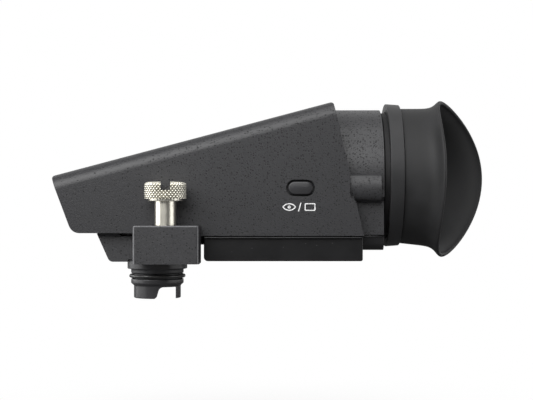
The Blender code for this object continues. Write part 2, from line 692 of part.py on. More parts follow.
def build_lid(foot):
    """The lid over the cable pocket, with its two screws."""
    front = NOTCH_BACK_X + POCKET_WALL + SEAM
    rear = FOOT_REAR_X - POCKET_WALL - SEAM
    near = PLUG_Y + STEM_RADIUS - POCKET_REACH + SEAM
    low = FOOT_HEIGHT - LID_THICKNESS
    plate = block((front, near, low), (rear, FOOT_WIDTH / 2 - POCKET_WALL - SEAM, FOOT_HEIGHT))
    lid = piece("foot_lid", plate, BLACK_PLASTIC, foot)
    weld(lid, helper("lid_disc", rod(low, FOOT_HEIGHT, STEM_RADIUS, 32), (0, PLUG_Y, 0)))
    for name, (x, y) in zip(("lid_screw_near", "lid_screw_far"), lid_post_places()):
        hole = rod(low - OVERCUT, FOOT_HEIGHT + OVERCUT, LID_SCREW[2] + SEAM, SCREW_STEPS)
        sink = rod(FOOT_HEIGHT - LID_SINK, FOOT_HEIGHT + OVERCUT, LID_SINK_RADIUS, 16)
        cut(lid, helper(name + "_hole", hole, (x, y, 0)), helper(name + "_sink", sink, (x, y, 0)))
        add_screw(name, LID_SCREW, 3.2 * MM, foot, (x, y, FOOT_HEIGHT - LID_SINK + SEAM))


def build_connector(foot):
    """Plug shell with its seal groove and keyed skirt, the seal, and the contact block."""
    spot = (0, PLUG_Y, 0)
    bore = STEM_RADIUS - STEM_WALL
    groove_low = GROOVE_TOP - GROOVE_HEIGHT
    groove_radius = PLUG_RADIUS - RING_RADIUS
    flange_top = FLANGE_SINK - SEAM
    profile = [(FOOT_FLOOR - SEAM, bore), (FOOT_FLOOR - SEAM, STEM_RADIUS), (flange_top, STEM_RADIUS),
               (flange_top, FLANGE_RADIUS), (FLANGE_BOTTOM, FLANGE_RADIUS), (FLANGE_BOTTOM, PLUG_RADIUS),
               (GROOVE_TOP, PLUG_RADIUS), (GROOVE_TOP, groove_radius), (groove_low, groove_radius),
               (groove_low, PLUG_RADIUS), (COLLAR_BOTTOM, PLUG_RADIUS), (SKIRT_TOP, SKIRT_RADIUS),
               (SKIRT_END + SEAM, SKIRT_RADIUS), (SKIRT_END, SKIRT_RADIUS - SEAM),
               (SKIRT_END, SKIRT_RADIUS - SKIRT_WALL), (SKIRT_TOP, SKIRT_RADIUS - SKIRT_WALL),
               (SKIRT_TOP, bore)]
    shell = piece("plug_shell", turned(profile, 36, hollow=True), BLACK_PLASTIC, foot, spot, smooth=True)

    below = SKIRT_END - OVERCUT
    heel = KEY_FRONT_X - 1.1 * MM
    toe = KEY_FRONT_X - 2.8 * MM
    key = rounded([(toe, below), (KEY_REAR_X, below), (KEY_REAR_X, KEY_TOP), (KEY_FRONT_X, KEY_TOP),
                   (heel, SKIRT_END + 0.7 * MM), (toe, SKIRT_END + 0.1 * MM)],
                  (0, 0, 0, 1.6 * MM, 0.9 * MM, 0))
    reach = SKIRT_RADIUS + OVERCUT
    cut(shell, helper("key_gap", prism(key, PLUG_Y - reach, PLUG_Y + reach)))

    middle = (GROOVE_TOP + groove_low) / 2
    depth = RING_RADIUS * 0.77
    seat = groove_radius + SEAM + depth
    seal_profile = [(middle + RING_RADIUS * math.sin(angle), seat + depth * math.cos(angle))
                    for angle in (math.pi / 3 * step for step in range(6))]
    piece("plug_seal", turned(seal_profile, 36, hollow=True), RUBBER, foot, spot, smooth=True)

    low = SKIRT_TOP + SEAM
    body = piece("contact_block", rod(low, FOOT_FLOOR - SEAM, bore - SEAM, 32), BLACK_PLASTIC, foot, spot)
    pins = bmesh.new()
    for index in range(CONTACT_COUNT):
        angle = 2 * math.pi * (index + 0.5) / CONTACT_COUNT
        x = CONTACT_CIRCLE * math.cos(angle)
        y = CONTACT_CIRCLE * math.sin(angle)
        bmesh.ops.create_cone(pins, cap_ends=True, segments=6, radius1=CONTACT_RADIUS,
                              radius2=CONTACT_RADIUS, depth=CONTACT_LENGTH,
                              matrix=Matrix.Translation((x, y, low)))
    weld(body, helper("contact_pins", pins, spot))


def build_hinge(foot, head):
    """Pins and friction washers in the foot, and the two arms that carry the housing."""
    inner = CABLE_NOTCH_WIDTH / 2 + SEAM
    outer = ARM_Y + NOTCH_HALF + PIN_GRIP
    arm_top = POCKET_Z - SEAM
    wide_low = FOOT_HEIGHT + ARM_RISE
    foot_x = NOTCH_BACK_X + ARM_REACH
    head_low = POCKET_Z + FLOOR_THICKNESS + SEAM
    half = ARM_THICKNESS / 2
    for label, side in (("near", -1), ("far", 1)):
        middle = side * ARM_Y
        turn = (-side * math.pi / 2, 0, 0)
        pin = rod(inner, outer, PIN_RADIUS, 16)
        piece("hinge_pin_" + label, pin, STEEL, foot, (TILT_X, 0, TILT_Z), turn, smooth=True)
        for place, shift in (("inner", -1), ("outer", 1)):
            centre = middle + side * shift * (half + SEAM + WASHER_THICKNESS / 2)
            washer = ring(-WASHER_THICKNESS / 2, WASHER_THICKNESS / 2, PIN_BORE, KNUCKLE_RADIUS, 20)
            piece(f"hinge_washer_{label}_{place}", washer, BRASS, foot, (TILT_X, centre, TILT_Z),
                  TOWARDS_Y, smooth=True)

        outline = half_circle(KNUCKLE_RADIUS, 8, math.pi)
        outline += [(KNUCKLE_RADIUS, wide_low - TILT_Z), (foot_x - TILT_X, wide_low - TILT_Z),
                    (foot_x - TILT_X, arm_top - TILT_Z), (-KNUCKLE_RADIUS, arm_top - TILT_Z)]
        arm = piece("hinge_arm_" + label, prism(outline, -half, half), STEEL, head,
                    (TILT_X, middle, TILT_Z))
        wide = block((NOTCH_BACK_X + SEAM, middle - ARM_FOOT_WIDTH / 2, wide_low),
                     (foot_x, middle + ARM_FOOT_WIDTH / 2, arm_top))
        weld(arm, helper(f"arm_foot_{label}", wide))
        bore = rod(-ARM_THICKNESS, ARM_THICKNESS, PIN_BORE, 16)
        cut(arm, helper(f"arm_bore_{label}", bore, (TILT_X, middle, TILT_Z), TOWARDS_Y))
        hole = rod(wide_low + SEAM, arm_top + OVERCUT, SCREW_HOLE, SCREW_STEPS)
        cut(arm, helper(f"arm_hole_{label}", hole, (arm_screw_x(), middle, 0)))
        add_screw("arm_screw_" + label, ARM_SCREW, head_low - wide_low - 2 * SEAM, head,
                  (arm_screw_x(), middle, head_low))


def arm_screw_x():
    return NOTCH_BACK_X + ARM_REACH / 2


def build_cables(foot, head):
    """Flat cables that wind round the tilt axis, one side fixed to the foot, one to the housing."""
    axis_spot = (TILT_X, 0, TILT_Z)
    inner = CABLE_COIL - CABLE_THICKNESS / 2
    outer = CABLE_COIL + CABLE_THICKNESS / 2
    overhang = STRIP_THICKNESS / 10
    edge = CABLE_OUTER_Y - overhang
    low = TILT_Z - outer - overhang
    high = low + STRIP_THICKNESS
    base = piece("foot_flex", ring(CABLE_INNER_Y, CABLE_OUTER_Y, inner, outer, 20), AMBER_FLEX, foot,
                 axis_spot, TOWARDS_Y)
    run = block((TILT_X, CABLE_INNER_Y + overhang, low), (CABLE_END_X, edge, high))
    branch = block((-CABLE_END_X, PLUG_Y, low), (CABLE_END_X, CABLE_END_X, high))
    weld(base, helper("foot_flex_run", run), helper("foot_flex_branch", branch))

    riser_x = TILT_X + outer - STRIP_THICKNESS / 2 + overhang
    top = POCKET_Z + FLOOR_THICKNESS + SEAM + STRIP_THICKNESS / 2
    upper = piece("head_flex", ring(-CABLE_OUTER_Y, -CABLE_INNER_Y, inner, outer, 20), AMBER_FLEX, head,
                  axis_spot, TOWARDS_Y)
    path = [(riser_x, TILT_Z), (riser_x, top), (riser_x + CABLE_OUTER_Y, top)]
    climb = prism(strip_outline(path, STRIP_THICKNESS), -edge, -CABLE_INNER_Y - overhang)
    weld(upper, helper("head_flex_climb", climb))


def build_thumbscrew(clip_body, screw_body):
    """The captive screw: ridged slotted head, shank, clip groove and thread."""
    spot = (SCREW_X, SCREW_Y, 0)
    clip_low = CLIP_TOP - CLIP_THICKNESS - SEAM
    clip = ring(clip_low, clip_low + CLIP_THICKNESS, THREAD_RADIUS + SEAM, CLIP_RADIUS, 28)
    piece("screw_clip", clip, STEEL, clip_body, spot, smooth=True)

    head_low = LUG_TOP + SCREW_LIFT
    head_top = head_low + HEAD_HEIGHT
    body_low = head_low + HEAD_CHAMFER
    body_high = head_top - HEAD_DOME
    groove_low = clip_low - SEAM
    groove_high = clip_low + CLIP_THICKNESS + SEAM
    thread_top = groove_low - SEAM
    core = THREAD_RADIUS - THREAD_DEPTH
    barrel = HEAD_RADIUS - RIDGE_DEPTH
    profile = [(head_top, 0), (head_top, HEAD_RADIUS - HEAD_INSET), (body_high, barrel),
               (body_low, barrel), (head_low, HEAD_RADIUS - HEAD_INSET),
               (head_low, SHANK_RADIUS), (groove_high, SHANK_RADIUS), (groove_high, THREAD_RADIUS),
               (groove_low, THREAD_RADIUS), (thread_top, THREAD_RADIUS)]
    for turn in range(int((thread_top - THREAD_END) / THREAD_PITCH)):
        root = thread_top - THREAD_PITCH * (turn + 0.5)
        profile += [(root, core), (root - THREAD_PITCH / 2, THREAD_RADIUS)]
    tip = profile[-1][0] - THREAD_DEPTH
    profile += [(tip, core), (tip, 0)]
    screw = piece("thumbscrew", turned(profile, 20), NICKEL, screw_body, spot, smooth=True)

    outline = ridged_outline(HEAD_RIDGES, HEAD_RADIUS, RIDGE_DEPTH)
    weld(screw, helper("head_ridges", prism(outline, body_low + SEAM, body_high - SEAM, "Z"), spot))
    slot = block((-SLOT_WIDTH / 2, -HEAD_RADIUS * 1.5, head_top - SLOT_DEPTH),
                 (SLOT_WIDTH / 2, HEAD_RADIUS * 1.5, head_top + OVERCUT))
    cut(screw, helper("head_slot", slot, spot, (0, 0, SLOT_TURN)))


def build_housing(head):
    """The wedge shell, open below and behind, with its button window and lobe notches."""
    outline = rounded([(NOSE_X, NOSE_TOP), (ROOF_END_X, roof_z(ROOF_END_X)), (rear_x(DECK_Z), DECK_Z),
                       (STEP_X, DECK_Z), (STEP_X, SKIRT_Z), (nose_x(SKIRT_Z), SKIRT_Z)],
                      (0, 0, 0, 0, 0, NOSE_CORNER), 4)
    shell = round_long_edges(prism(outline, -HALF_WIDTH, HALF_WIDTH), HALF_WIDTH, SHOULDER, 4)
    housing = piece("housing", shell, SPECKLED_CASE, head)
    soften(housing, 0.4 * MM)

    wall_x = HOUSING_WALL / math.cos(NOSE_LEAN)
    wall_z = HOUSING_WALL / math.cos(ROOF_SLOPE)
    lip_top = SKIRT_Z + HOUSING_WALL
    lip_x = nose_x(SKIRT_Z) + NOSE_LIP
    slope = math.tan(ROOF_SLOPE)
    lean = math.tan(NOSE_LEAN)
    corner_x = NOSE_X + (wall_z * lean + wall_x) / (1 + slope * lean)
    corner_z = roof_z(corner_x) - wall_z
    far = rear_x(DECK_Z) + 4 * MM
    inside = [(corner_x, corner_z), (far, roof_z(far) - wall_z), (far, DECK_Z - 4 * MM),
              (lip_x, DECK_Z - 4 * MM), (lip_x, lip_top), (nose_x(lip_top) + wall_x, lip_top)]
    hollow = round_long_edges(prism(inside, -INNER_HALF, INNER_HALF), INNER_HALF,
                              SHOULDER - HOUSING_WALL, 3)
    cut(housing, helper("housing_hollow", hollow))

    window = [(BUTTON_X + x, BUTTON_Z + z) for x, z in
              stadium(BUTTON_LENGTH + 2 * SEAM, BUTTON_HEIGHT + 2 * SEAM)]
    cut(housing, helper("button_window", prism(window, -HALF_WIDTH - OVERCUT, -INNER_HALF + OVERCUT)))

    notch = lobe_side_outline(SEAM)
    for name, side in (("near_lobe_notch", -1), ("far_lobe_notch", 1)):
        low, high = sorted((side * (INNER_HALF - OVERCUT), side * (HALF_WIDTH + OVERCUT)))
        cut(housing, helper(name, prism(notch, low, high)))


def lobe_side_outline(grow):
    """The side lobe as seen from the side, grown all round by a clearance."""
    front = LOBE_FRONT_X - grow
    end = LOBE_END_X + grow
    top = AXIS_Z + grow
    low = AXIS_Z - LOBE_HEIGHT - grow
    return rounded([(front, top), (end, top), (end, low), (front, low)], (0, 0, 0, 2.8 * MM), 4)


def build_floor(head):
    """The stepped floor plate that closes the housing and carries the boards."""
    high = POCKET_Z + FLOOR_THICKNESS
    deck_top = DECK_Z + FLOOR_THICKNESS
    front = nose_x(high) + HOUSING_WALL / math.cos(NOSE_LEAN) + 2 * SEAM
    riser = STEP_X + SEAM
    end = ROOF_END_X - FLOOR_THICKNESS
    outline = [(front, POCKET_Z), (riser, POCKET_Z), (riser, DECK_Z), (end, DECK_Z), (end, deck_top),
               (riser + FLOOR_THICKNESS, deck_top), (riser + FLOOR_THICKNESS, high), (front, high)]
    half = INNER_HALF - SEAM
    floor = piece("floor_plate", prism(outline, -half, half), ALUMINIUM, head)
    for number, (x, y) in enumerate(board_post_places()):
        post = rod(POCKET_Z + SEAM, BOARD_Z - SEAM, POST_RADIUS, 12)
        weld(floor, helper(f"board_post_{number}", post, (x, y, 0)))
        hole = rod(POCKET_Z - OVERCUT, BOARD_Z + OVERCUT, SCREW_HOLE, SCREW_STEPS)
        cut(floor, helper(f"board_post_hole_{number}", hole, (x, y, 0)))
    for label, side in (("near", -1), ("far", 1)):
        arm_hole = rod(POCKET_Z - OVERCUT, high + OVERCUT, SCREW_HOLE, SCREW_STEPS)
        cover_hole = rod(DECK_Z - OVERCUT, deck_top + OVERCUT, COVER_SCREW[2] + SEAM, SCREW_STEPS)
        cut(floor, helper(f"floor_hole_{label}", arm_hole, (arm_screw_x(), side * ARM_Y, 0)),
            helper(f"cover_hole_{label}", cover_hole, (*cover_screw_place(side), 0)))
    slot_x = TILT_X + CABLE_COIL
    slot = block((slot_x - 2 * SEAM, -CABLE_OUTER_Y - SEAM, POCKET_Z - OVERCUT),
                 (slot_x + 2 * SEAM, 0, high + OVERCUT))
    cut(floor, helper("flex_slot", slot))


def cover_screw_place(side):
    return (COVER_SCREW_X, side * (COVER_HALF - COVER_SCREW_INSET))


def board_post_places():
    half = BOARD_WIDTH / 2 - POST_INSET
    front = board_front_x() + POST_INSET
    rear = BOARD_REAR_X - REAR_POST_INSET
    return ((front, -half), (front, half), (rear, -half), (rear, half))


def board_front_x():
    return TILT_X - BOARD_INSET


def build_electronics(head):
    """Main board with its chips and screws, the display in its frame, and the heat spreader."""
    half = BOARD_WIDTH / 2
    front = board_front_x()
    top = BOARD_Z + BOARD_THICKNESS
    outline = rounded([(front, -half), (BOARD_REAR_X, -half), (BOARD_REAR_X, half), (front, half)],
                      (BOARD_CORNER, BOARD_CORNER / 2, BOARD_CORNER / 2, BOARD_CORNER), 2)
    board = piece("main_board", prism(outline, BOARD_Z, top, "Z"), GREEN_BOARD, head)
    chips = bmesh.new()
    chip_low = top - SEAM
    for share_x, share_y, size in CHIPS:
        place = Matrix.Translation((front + share_x * (BOARD_REAR_X - front), share_y * half,
                                    (chip_low + top + CHIP_HEIGHT) / 2))
        scale = Matrix.Diagonal((size, size, top + CHIP_HEIGHT - chip_low, 1))
        bmesh.ops.create_cube(chips, size=1.0, matrix=place @ scale)
    weld(board, helper("board_chips", chips))
    for number, (x, y) in enumerate(board_post_places()):
        hole = rod(BOARD_Z - OVERCUT, top + OVERCUT, SCREW_HOLE, SCREW_STEPS)
        cut(board, helper(f"board_hole_{number}", hole, (x, y, 0)))
        add_screw(f"board_screw_{number + 1}", BOARD_SCREW, top - POCKET_Z, head, (x, y, top + SEAM))

    frame_end = TUBE_FRONT_X - SEAM
    half_y = PANEL_WIDTH / 2
    half_z = PANEL_HEIGHT / 2
    frame_box = block((PANEL_FRAME_X, -PANEL_FRAME_WIDTH / 2, AXIS_Z - PANEL_FRAME_HEIGHT / 2),
                      (frame_end, PANEL_FRAME_WIDTH / 2, AXIS_Z + PANEL_FRAME_HEIGHT / 2))
    frame = piece("panel_frame", frame_box, BLACK_PLASTIC, head)
    soften(frame)
    seat = block((PANEL_FRAME_X - OVERCUT, -half_y - SEAM, AXIS_Z - half_z - SEAM),
                 (PANEL_FRAME_X + PANEL_DEPTH + SEAM, half_y + SEAM, AXIS_Z + half_z + SEAM))
    view = block((PANEL_FRAME_X, PANEL_LEDGE - half_y, AXIS_Z + PANEL_LEDGE - half_z),
                 (frame_end + OVERCUT, half_y - PANEL_LEDGE, AXIS_Z + half_z - PANEL_LEDGE))
    cut(frame, helper("panel_seat", seat), helper("panel_view", view))
    panel = block((PANEL_FRAME_X, -half_y, AXIS_Z - half_z),
                  (PANEL_FRAME_X + PANEL_DEPTH, half_y, AXIS_Z + half_z))
    piece("display_panel", panel, DISPLAY_BLACK, head)

    back = PANEL_FRAME_X - SEAM - FLEX / 2
    drop = top + SEAM + FLEX / 2
    path = [(back, AXIS_Z), (back, drop + PANEL_FLEX_BEND), (back - PANEL_FLEX_BEND, drop),
            (BOARD_REAR_X - PANEL_FLEX_WIDTH / 2, drop)]
    flex = prism(strip_outline(path, FLEX), -PANEL_FLEX_WIDTH / 2, PANEL_FLEX_WIDTH / 2)
    piece("panel_flex", flex, AMBER_FLEX, head)

    wall_x = BOARD_REAR_X + SPREADER
    low = top + CHIP_HEIGHT + SEAM + SPREADER / 2
    path = [(wall_x, AXIS_Z + SPREADER_RISE), (wall_x, low), (SPREADER_FRONT_X, low)]
    bent = prism(strip_outline(path, SPREADER), -SPREADER_WIDTH / 2, SPREADER_WIDTH / 2)
    sheet = piece("heat_spreader", bent, ALUMINIUM, head)
    reach = SPREADER_SLOT / 2
    slot = block((wall_x - reach, -reach, low - reach), (wall_x + reach, reach, low + reach))
    cut(sheet, helper("spreader_slot", slot))


def build_cover(head):
    """The darker cover under the housing, with the lip that shades the gap at the foot."""
    top = DECK_Z - SEAM
    half = COVER_HALF
    outline = rounded([(COVER_FRONT_X, COVER_BOTTOM), (COVER_REAR_X, COVER_BOTTOM),
                       (COVER_REAR_X, top), (COVER_FRONT_X, top)], (1.4 * MM, 0.7 * MM, 0, 0))
    cover = piece("lower_cover", prism(outline, -half, half), DARK_CASE, head)
    soften(cover)
    wall = COVER_WALL
    hollow = block((COVER_FRONT_X + wall, -half + wall, COVER_BOTTOM + wall),
                   (COVER_REAR_X - wall, half - wall, top + OVERCUT))
    cut(cover, helper("cover_hollow", hollow))
    lip = block((COVER_FRONT_X - COVER_LIP, LUG_INNER_Y + 2 * MM, COVER_LIP_Z),
                (COVER_FRONT_X + wall / 2, FOOT_WIDTH / 2 - 2 * MM, top))
    weld(cover, helper("cover_lip", lip))

    over = (math.pi, 0, 0)
    sink = COVER_BOTTOM + COVER_SINK
    for label, side in (("near", -1), ("far", 1)):
        x, y = cover_screw_place(side)
        post = rod(COVER_BOTTOM + SEAM, top, COVER_POST_RADIUS, 16)
        weld(cover, helper(f"cover_post_{label}", post, (x, y, 0)))
        sink_hole = rod(COVER_BOTTOM - OVERCUT, sink, COVER_SINK_RADIUS, 16)
        bore = rod(COVER_BOTTOM, top + OVERCUT, COVER_SCREW[2] + SEAM, SCREW_STEPS)
        cut(cover, helper(f"cover_sink_{label}", sink_hole, (x, y, 0)),
            helper(f"cover_bore_{label}", bore, (x, y, 0)))
        add_screw(f"cover_screw_{label}", COVER_SCREW, DECK_Z + FLOOR_THICKNESS - sink, head,
                  (x, y, sink - SEAM), over)


def barrel_section(radius, waist, low):
    """Half-round above the optical axis, straight walls to the waist below. Points are (y, z)."""
    shelf = AXIS_Z - LOBE_HEIGHT
    outline = [(y, AXIS_Z + z) for y, z in half_circle(radius, 20)]
    outline += [(-radius, shelf + 1.5 * MM), (-waist, shelf), (-waist, low), (waist, low), (waist, shelf),
                (radius, shelf + 1.5 * MM)]
    return outline


def rear_wall(barrel_front):
    """The slanted wall round the barrel, just inside the housing's rear edge."""
    low = DECK_Z + 2 * SEAM
    inset = REAR_WALL + SEAM
    high = roof_z(ROOF_END_X - inset) - HOUSING_WALL / math.cos(ROOF_SLOPE) - SEAM
    half = INNER_HALF - SEAM
    corner = SHOULDER - HOUSING_WALL
    section = rounded([(-half, low), (half, low), (half, high), (-half, high)], (0, 0, corner, corner))
    front = ROOF_END_X - 2 * inset
    wall = helper("rear_wall", prism(section, front, BARREL_END_X, "X"))
    top = high + OVERCUT
    bottom = low - OVERCUT
    for name, back_off, end in (("wall_front", inset, front - OVERCUT),
                                ("wall_rear", SEAM, BARREL_END_X + OVERCUT)):
        trim = [(rear_x(bottom) - back_off, bottom), (rear_x(top) - back_off, top), (end, top), (end, bottom)]
        cut(wall, helper(name, prism(trim, -HALF_WIDTH, HALF_WIDTH)))
    opening = barrel_section(BARREL_RADIUS + SEAM, BARREL_WAIST + SEAM, bottom)
    cut(wall, helper("wall_opening", prism(opening, front - OVERCUT, barrel_front + SEAM / 2, "X")))
    return wall


def build_barrel(head):
    """The eyepiece barrel with its rear wall and side lobes, and the chin under it."""
    front = rear_x(AXIS_Z + BARREL_RADIUS) + SEAM
    low = DECK_Z + SEAM
    shell = prism(barrel_section(BARREL_RADIUS, BARREL_WAIST, low), front, BARREL_END_X, "X")
    barrel = piece("barrel_shell", shell, SPECKLED_CASE, head)

    lobe_low = AXIS_Z - LOBE_HEIGHT
    root = BARREL_RADIUS - 2 * SEAM
    inside = BARREL_WAIST - OVERCUT
    for name, side in (("near_lobe", -1), ("far_lobe", 1)):
        profile = []
        for out, rise in half_circle(1.0, 8, -math.pi / 2):
            y = side * (root + (LOBE_BULGE + 2 * SEAM) * max(out, 0.0) ** 0.7)
            profile.append((y, DIAL_Z + LOBE_HEIGHT / 2 * rise))
        profile += [(side * inside, AXIS_Z), (side * inside, lobe_low)]
        lobe = helper(name, prism(profile, LOBE_FRONT_X, LOBE_END_X, "X"))
        ahead = LOBE_FRONT_X - OVERCUT
        corner = [(ahead, lobe_low - OVERCUT), (LOBE_FRONT_X + LOBE_CORNER, lobe_low - OVERCUT),
                  (LOBE_FRONT_X, lobe_low + LOBE_CORNER), (ahead, lobe_low + LOBE_CORNER)]
        reach = sorted((side * (BARREL_WAIST + SEAM), side * (BARREL_RADIUS + 2 * LOBE_BULGE)))
        cut(lobe, helper(name + "_corner", prism(corner, *reach)))
        weld(barrel, lobe)
    weld(barrel, rear_wall(front))

    inner = barrel_section(BARREL_RADIUS - BARREL_WALL, BARREL_WAIST - BARREL_WALL, low - OVERCUT)
    wall_x = BARREL_END_X - BARREL_WALL
    cut(barrel, helper("barrel_hollow", prism(inner, front - OVERCUT, wall_x, "X")))
    hole = rod(wall_x - OVERCUT, BARREL_END_X + OVERCUT, TUBE_RADIUS + SEAM, 36)
    cut(barrel, helper("tube_hole", hole, (0, 0, AXIS_Z), TOWARDS_X))
    outer = BARREL_RADIUS + LOBE_BULGE
    shaft_hole = rod(TUBE_RADIUS, outer, DIAL_SHAFT + SEAM, 16)
    seat = rod(outer - DIAL_SINK, outer + OVERCUT, DIAL_RADIUS + SEAM, 28)
    cut(barrel, helper("dial_hole", shaft_hole, (DIAL_X, 0, DIAL_Z), TOWARDS_Y),
        helper("dial_seat", seat, (DIAL_X, 0, DIAL_Z), TOWARDS_Y))

    chin_front = COVER_REAR_X + SEAM
    chin_end = BARREL_END_X
    half = BARREL_WAIST - CHIN_INSET
    section = rounded([(-half, DECK_Z), (-half, CHIN_BOTTOM), (half, CHIN_BOTTOM), (half, DECK_Z)],
                      (0, 2.5 * MM, 2.5 * MM, 0))
    chin = piece("rear_chin", prism(section, chin_front, chin_end, "X"), DARK_CASE, head)
    hollow = block((chin_front + CHIN_WALL, -half + CHIN_WALL, CHIN_BOTTOM + CHIN_WALL),
                   (chin_end - CHIN_WALL, half - CHIN_WALL, DECK_Z + OVERCUT))
    cut(chin, helper("chin_hollow", hollow))


def dial_seat_y():
    """The flat that the dial turns on, cut into the far lobe."""
    return BARREL_RADIUS + LOBE_BULGE - DIAL_SINK


def crank_span():
    """The room along Y between the lens tube and the inside of the barrel."""
    low_edge = AXIS_Z - DIAL_Z + CRANK_RADIUS
    outer = math.sqrt((BARREL_RADIUS - BARREL_WALL) ** 2 - low_edge ** 2)
    return TUBE_RADIUS + SEAM, outer - SEAM


def build_optics(head):
    """Lens tube with its neck, the nut and saddle that hold it, the fixed glass and its rings."""
    spot = (0, 0, AXIS_Z)
    front_bore = FRONT_TUBE_RADIUS - TUBE_WALL
    step_end = TUBE_STEP_X + TUBE_WALL
    window_seat_x = NECK_END_X - WINDOW_THICKNESS - 2 * SEAM
    window_bore = TUBE_BORE + WINDOW_SEAT
    profile = [(TUBE_FRONT_X, front_bore), (TUBE_FRONT_X, FRONT_TUBE_RADIUS),
               (TUBE_STEP_X, FRONT_TUBE_RADIUS), (TUBE_STEP_X, TUBE_RADIUS), (NECK_X, TUBE_RADIUS),
               (NECK_X, NECK_RADIUS), (NECK_END_X, NECK_RADIUS), (NECK_END_X, window_bore),
               (window_seat_x, window_bore), (window_seat_x, TUBE_BORE), (step_end, TUBE_BORE),
               (step_end, front_bore)]
    tube = piece("lens_tube", turned(profile, 36, hollow=True), BLACK_PLASTIC, head, spot, TOWARDS_X,
                 smooth=True)
    reach = FORK_WIDTH / 2 + FOCUS_TRAVEL + SEAM
    fork_window = block((DIAL_X - reach, TUBE_RADIUS / 2, fork_low() - FORK_ROOM),
                        (DIAL_X + reach, TUBE_RADIUS + OVERCUT, fork_high() + FORK_ROOM))
    cut(tube, helper("fork_window", fork_window))

    nut_end = BARREL_END_X - BARREL_WALL - SEAM
    nut = ring(nut_end - NUT_THICKNESS, nut_end, TUBE_RADIUS + SEAM, TUBE_RADIUS + NUT_RIM)
    piece("tube_nut", nut, ALUMINIUM, head, spot, TOWARDS_X, smooth=True)
    saddle_x = TUBE_FRONT_X + SADDLE_INSET
    saddle_box = block((saddle_x, -SADDLE_WIDTH / 2, DECK_Z + FLOOR_THICKNESS + SEAM),
                       (saddle_x + SADDLE_LENGTH, SADDLE_WIDTH / 2, AXIS_Z - SADDLE_DROP))
    saddle = piece("tube_saddle", saddle_box, ALUMINIUM, head)
    rest = rod(saddle_x - OVERCUT, saddle_x + SADDLE_LENGTH + OVERCUT, FRONT_TUBE_RADIUS + SEAM, 36)
    cut(saddle, helper("saddle_rest", rest, spot, TOWARDS_X))

    lens = lens_mesh(front_bore - SEAM, FIELD_LENS_X, FIELD_LENS)
    piece("field_lens", lens, COATED_GLASS, head, spot, TOWARDS_X, smooth=True)
    glass = rod(window_seat_x + SEAM, window_seat_x + SEAM + WINDOW_THICKNESS, window_bore - SEAM, 36)
    piece("eyepiece_window", glass, COATED_GLASS, head, spot, TOWARDS_X, smooth=True)
    retainer = ring(RETAINER_X, RETAINER_X + RETAINER_THICKNESS, TUBE_BORE, RETAINER_RADIUS, 36)
    piece("ring_retainer", retainer, BLACK_PLASTIC, head, spot, TOWARDS_X, smooth=True)


def fork_low():
    return DIAL_Z + CRANK_REACH * math.cos(DIAL_SWING) - CRANK_PIN - FORK_WALL - 2 * SEAM


def fork_high():
    return DIAL_Z + CRANK_REACH + CRANK_PIN + OVERCUT


